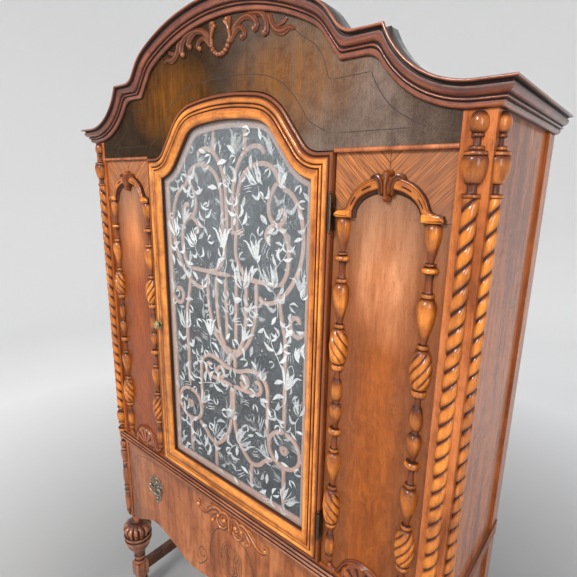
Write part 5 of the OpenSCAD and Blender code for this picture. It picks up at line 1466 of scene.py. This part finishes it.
# Right half of the fretwork: points and number of steps, from the ends of the door's arch down
FRET_STRIPS = [
    ([(23, -156), (23, -100), (30, -58), (48, -30), (74, -16), (102, -14), (124, -24),
        (138, -44), (148, -60)], 46),
    ([(8, -156), (10, -100), (13, -56), (26, -18), (46, 8), (70, 19), (90, 16), (102, 4)], 46),
    ([(47, 8), (47, 30), (47, 58)], 8),
    ([(146, -58), (172, -72), (192, -104), (201, -150), (196, -196), (179, -236), (152, -270),
        (124, -288), (100, -292), (84, -282)], 50),
    ([(136, -48), (122, -66), (113, -90), (115, -112), (128, -129), (146, -126), (154, -112),
        (148, -101), (138, -106)], 40),
    ([(128, -129), (113, -138), (106, -150), (110, -162), (118, -158)], 24),
    ([(136, -130), (156, -146), (165, -176), (164, -210), (154, -238), (140, -250)], 30),
    ([(0, -154), (20, -154), (40, -152)], 8),
    ([(20, -154), (17, -180), (19, -205), (30, -228), (54, -245), (82, -250)], 26),
    ([(0, -250), (70, -250), (146, -250)], 12),
    ([(78, -252), (78, -300), (72, -345), (58, -385), (36, -416), (8, -438)], 34),
    ([(48, -252), (47, -330), (37, -392), (22, -418)], 20),
    ([(18, -252), (16, -330), (14, -410)], 12),
    ([(0, -426), (22, -420), (30, -404)], 12), ([(0, -432), (10, -446), (10, -466)], 12),
    ([(0, -470), (22, -470), (48, -460), (76, -456), (98, -466), (110, -484), (112, -520),
        (112, -600)], 40),
    ([(0, -512), (60, -510), (84, -506), (92, -492), (84, -478), (72, -482)], 30),
    ([(4, -512), (4, -560), (4, -606)], 8),
    ([(28, -490), (34, -478), (46, -478), (52, -490), (46, -501), (34, -501), (28, -490)], 26),
    ([(140, -262), (146, -300), (154, -336), (160, -366), (160, -460), (160, -566)], 30),
    ([(210, -330), (196, -344), (180, -342), (172, -326), (178, -310), (192, -308),
        (196, -320)], 30),
    (oval(44, 42, range(0, 361, 24), 160, -613), 60),
    (oval(7, 7, range(0, 361, 45), 160, -613), 20),
    ([(112, -590), (116, -604), (120, -616)], 8),
    ([(4, -598), (14, -636), (34, -668), (60, -688), (84, -684), (104, -664), (128, -650)], 34),
    ([(62, -688), (62, -720), (62, -760)], 8), ([(160, -650), (160, -700), (160, -760)], 8)]
# Section of its border: distance from the door's edge and depth
FRET_SECTION = np.array([
    (42.6, 17), (42.6, 13.2), (43.2, 13.1), (61.4, 13.1), (62, 13.3), (62, 17)])


class CABINET_OT_fretwork(Maker, bpy.types.Operator):
    """Saws the fretwork behind the glass: a border, an urn with its flutes, and scrolls"""
    bl_idname, bl_label = "cabinet.fretwork", "Fretwork"

    def make(self, sizes, colours):
        """Flat strips follow curves through their points, mirrored about the middle; the
        border lies between two copies of the door's line. Each strip is a little lower than
        the one before it, in a cycle of five, so that fewer fronts that cross lie in one plane."""
        back, thick, lower = 17, 3.9, 0.02
        shape = Shape("sawn_fretwork")
        width = (sizes.fret_width * 1000,) * 2
        for k, (line, n) in enumerate(FRET_STRIPS):
            leaf(shape, line, width, (thick - lower * (k % 5),) * 2, back, n=n, m=9, sides=BOTH,
                sunk=0.0, power=9, seed=k * 0.2)
        d, y = FRET_SECTION.T
        edge, foot = DOOR_HALF - d, DOOR_FOOT + d
        head = np.array([door_z(e, k) for e, k in zip(edge, d)])
        for part in ("stiles", "foot", "head"):
            t = np.linspace(-1, 1, 181 if part == "head" else 40)[:, None]
            p = np.empty((len(t), len(d), 3))
            p[..., 1] = y
            if part == "stiles":
                p[..., 2] = foot + (head - foot) * (t + 1) / 2
                for side in BOTH:
                    q = p.copy()
                    q[..., 0] = side * edge
                    shape.grid(q, seed=side)
                continue
            p[..., 0], p[..., 2] = edge * t, foot
            if part == "head":
                for k, inwards in enumerate(d):
                    p[:, k, 2] = door_z(p[:, k, 0], inwards)
            shape.grid(p, seed=2)
        shape.piece("door", "fretwork", "painted_fret", "door_fretwork")


# The boards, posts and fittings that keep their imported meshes, by finish
CAD_FINISHES = {
    "panel_upright": ("left_front_post", "right_front_post", "left_rear_post", "right_rear_post",
        "left_side_panel", "right_side_panel", "door_stop"),
    "matched_veneer": ("left_front_panel", "right_front_panel"),
    "panel_level": ("waist_rail",),
    "panel_deep": ("lower_side_panels",),
    "drawer_veneer": ("drawer_front",),
    "frieze_veneer": ("frieze_board",),
    "bead_level": ("frieze_beads",),
    "orange_upright": ("glazing_beads",),
    "dark_deep": ("left_side_stretcher", "right_side_stretcher"),
    "dark_level": ("cross_stretcher",),
    "inside_upright": ("back_panel",),
    "inside_level": ("lower_back_rail", "case_floor", "top_board", "hood", "upper_shelf",
        "middle_shelf", "lower_shelf", "drawer_back"),
    "inside_deep": ("shelf_cleats", "drawer_runners", "drawer_sides", "drawer_bottom"),
    "dark_bronze": ("case_hinge_leaves", "door_hinge_leaves", "case_hinge_screws",
        "door_hinge_screws"),
    "speckled_glass": ("door_glass",),
}


class CABINET_OT_dress(Maker, bpy.types.Operator):
    """Gives every board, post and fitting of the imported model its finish"""
    bl_idname, bl_label = "cabinet.dress", "Dress The Boards"

    def make(self, sizes, colours):
        for name, nodes in CAD_FINISHES.items():
            for node in nodes:
                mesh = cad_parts[node].data
                mesh.materials.clear()
                mesh.materials.append(bpy.data.materials[name])


# The camera fitted to the photo: its axes, its place in metres, its focal length and picture
# width in pixels, and the sensor's width in millimetres
CAMERA_RIGHT = np.array([0.7657255, 0.6429769, 0.0156571])
CAMERA_DOWN = np.array([0.1637884, -0.1714, -0.9714913])
CAMERA_AHEAD = np.array([-0.6219629, 0.7464601, -0.2365576])
CAMERA_EYE = (0.69638, -0.79906, 1.42158)
FOCAL_PIXELS, PICTURE_PIXELS, SENSOR = 435.691, 577, 36
# Soft lights: name, place, the place they look at, width, height, power and colour
LIGHTS = (
    ("key", (-0.2, -3.0, 3.1), (0.0, -0.1, 1.0), 0.9, 0.7, 125, (1.0, 0.98, 0.95)),
    ("side", (2.4, -1.9, 1.9), (0.2, 0.0, 1.0), 0.8, 1.6, 36, (0.97, 0.98, 1.0)),
    ("back", (-0.6, 2.8, 3.2), (0.0, 0.6, 1.0), 2.6, 2.6, 30, (1.0, 1.0, 1.0)))


def attitude(right, up, back, place):
    """The matrix of a thing with these axes at this place."""
    return Matrix([(right[k], up[k], back[k], place[k]) for k in range(3)] + [(0, 0, 0, 1)])


class CABINET_OT_studio(Maker, bpy.types.Operator):
    """Builds the floor and wall, the soft lights and the camera"""
    bl_idname, bl_label = "cabinet.studio", "Studio"

    def make(self, sizes, colours):
        scene = bpy.context.scene
        self.backdrop(scene)
        for name, place, aim, width, height, power, shade in LIGHTS:
            lamp = bpy.data.lights.new(name, "AREA")
            lamp.shape, lamp.size, lamp.size_y = "RECTANGLE", width, height
            lamp.energy, lamp.color = power, shade
            light = bpy.data.objects.new(name, lamp)
            scene.collection.objects.link(light)
            back = np.array(place) - np.array(aim)
            back /= np.linalg.norm(back)
            right = np.cross((0, 0, 1), back)
            right /= np.linalg.norm(right)
            light.matrix_world = attitude(right, np.cross(back, right), back, place)
            light.visible_camera = False
        world = bpy.data.worlds.new("sky")
        world.use_nodes = True
        sky = world.node_tree.nodes["Background"]
        sky.inputs["Color"].default_value = (0.95, 0.97, 1.0, 1.0)
        sky.inputs["Strength"].default_value = 0.70
        scene.world = world
        scene.view_settings.view_transform = "Standard"

        lens = bpy.data.cameras.new("camera")
        lens.sensor_width, lens.lens = SENSOR, FOCAL_PIXELS / PICTURE_PIXELS * SENSOR
        camera = bpy.data.objects.new("camera", lens)
        camera.matrix_world = attitude(CAMERA_RIGHT, -CAMERA_DOWN, -CAMERA_AHEAD, CAMERA_EYE)
        scene.collection.objects.link(camera)
        scene.camera = camera

    def backdrop(self, scene):
        """The backdrop is a level floor that turns up into a wall through a quarter circle, as
        distance from the middle and height in metres, carried round a full turn."""
        bend = arc(3.6, 1.6, 1.6, 180, 90, 14)
        line = np.concatenate([[[0.001, 0], [1.2, 0], [2.4, 0]], bend, [[5.2, 3.5], [5.2, 6.5]]])
        a = np.linspace(0, TAU, 96, endpoint=False)
        reach, height = line[:, :1], line[:, 1:]
        p = np.stack([reach * np.cos(a), reach * np.sin(a), height + 0 * a], -1)
        index, quads = net(*p.shape[:2])
        mesh = bpy.data.meshes.new("backdrop")
        mesh.from_pydata(p.reshape(-1, 3).tolist(), [], quads.tolist() + [index[0].tolist()])
        mesh.polygons.foreach_set("use_smooth", np.ones(len(mesh.polygons), bool))
        mesh.materials.append(bpy.data.materials["studio_paper"])
        backdrop = bpy.data.objects.new("backdrop", mesh)
        scene.collection.objects.link(backdrop)


STEPS = ("finishes", "dress", "crown", "door", "columns", "turnings", "legs", "arches", "shells",
    "carvings", "waist", "lines", "pulls", "knob", "fretwork", "print", "studio")


class CABINET_PT_pieces(bpy.types.Panel):
    """Lists the sizes, colours and steps of the cabinet"""
    bl_idname, bl_label = "CABINET_PT_pieces", "China Cabinet"
    bl_space_type, bl_region_type, bl_category = "VIEW_3D", "UI", "Cabinet"

    def draw(self, context):
        for group in (context.scene.cabinet_sizes, context.scene.cabinet_colours):
            box = self.layout.box()
            for name in group.__annotations__:
                box.prop(group, name)
        for step in STEPS:
            self.layout.operator("cabinet." + step)


CLASSES = (CABINET_PG_sizes, CABINET_PG_colours, CABINET_OT_finishes, CABINET_OT_dress,
    CABINET_OT_crown, CABINET_OT_door, CABINET_OT_columns, CABINET_OT_turnings, CABINET_OT_legs,
    CABINET_OT_arches, CABINET_OT_shells, CABINET_OT_carvings, CABINET_OT_waist,
    CABINET_OT_lines, CABINET_OT_pulls, CABINET_OT_knob, CABINET_OT_fretwork, CABINET_OT_print,
    CABINET_OT_studio, CABINET_PT_pieces)


def register():
    for item in CLASSES:
        bpy.utils.register_class(item)
    bpy.types.Scene.cabinet_sizes = PointerProperty(type=CABINET_PG_sizes)
    bpy.types.Scene.cabinet_colours = PointerProperty(type=CABINET_PG_colours)


def unregister():
    del bpy.types.Scene.cabinet_sizes, bpy.types.Scene.cabinet_colours
    for item in reversed(CLASSES):
        bpy.utils.unregister_class(item)


def main():
    register()
    for step in STEPS:
        getattr(bpy.ops.cabinet, step)()


if __name__ == "__main__":
    main()
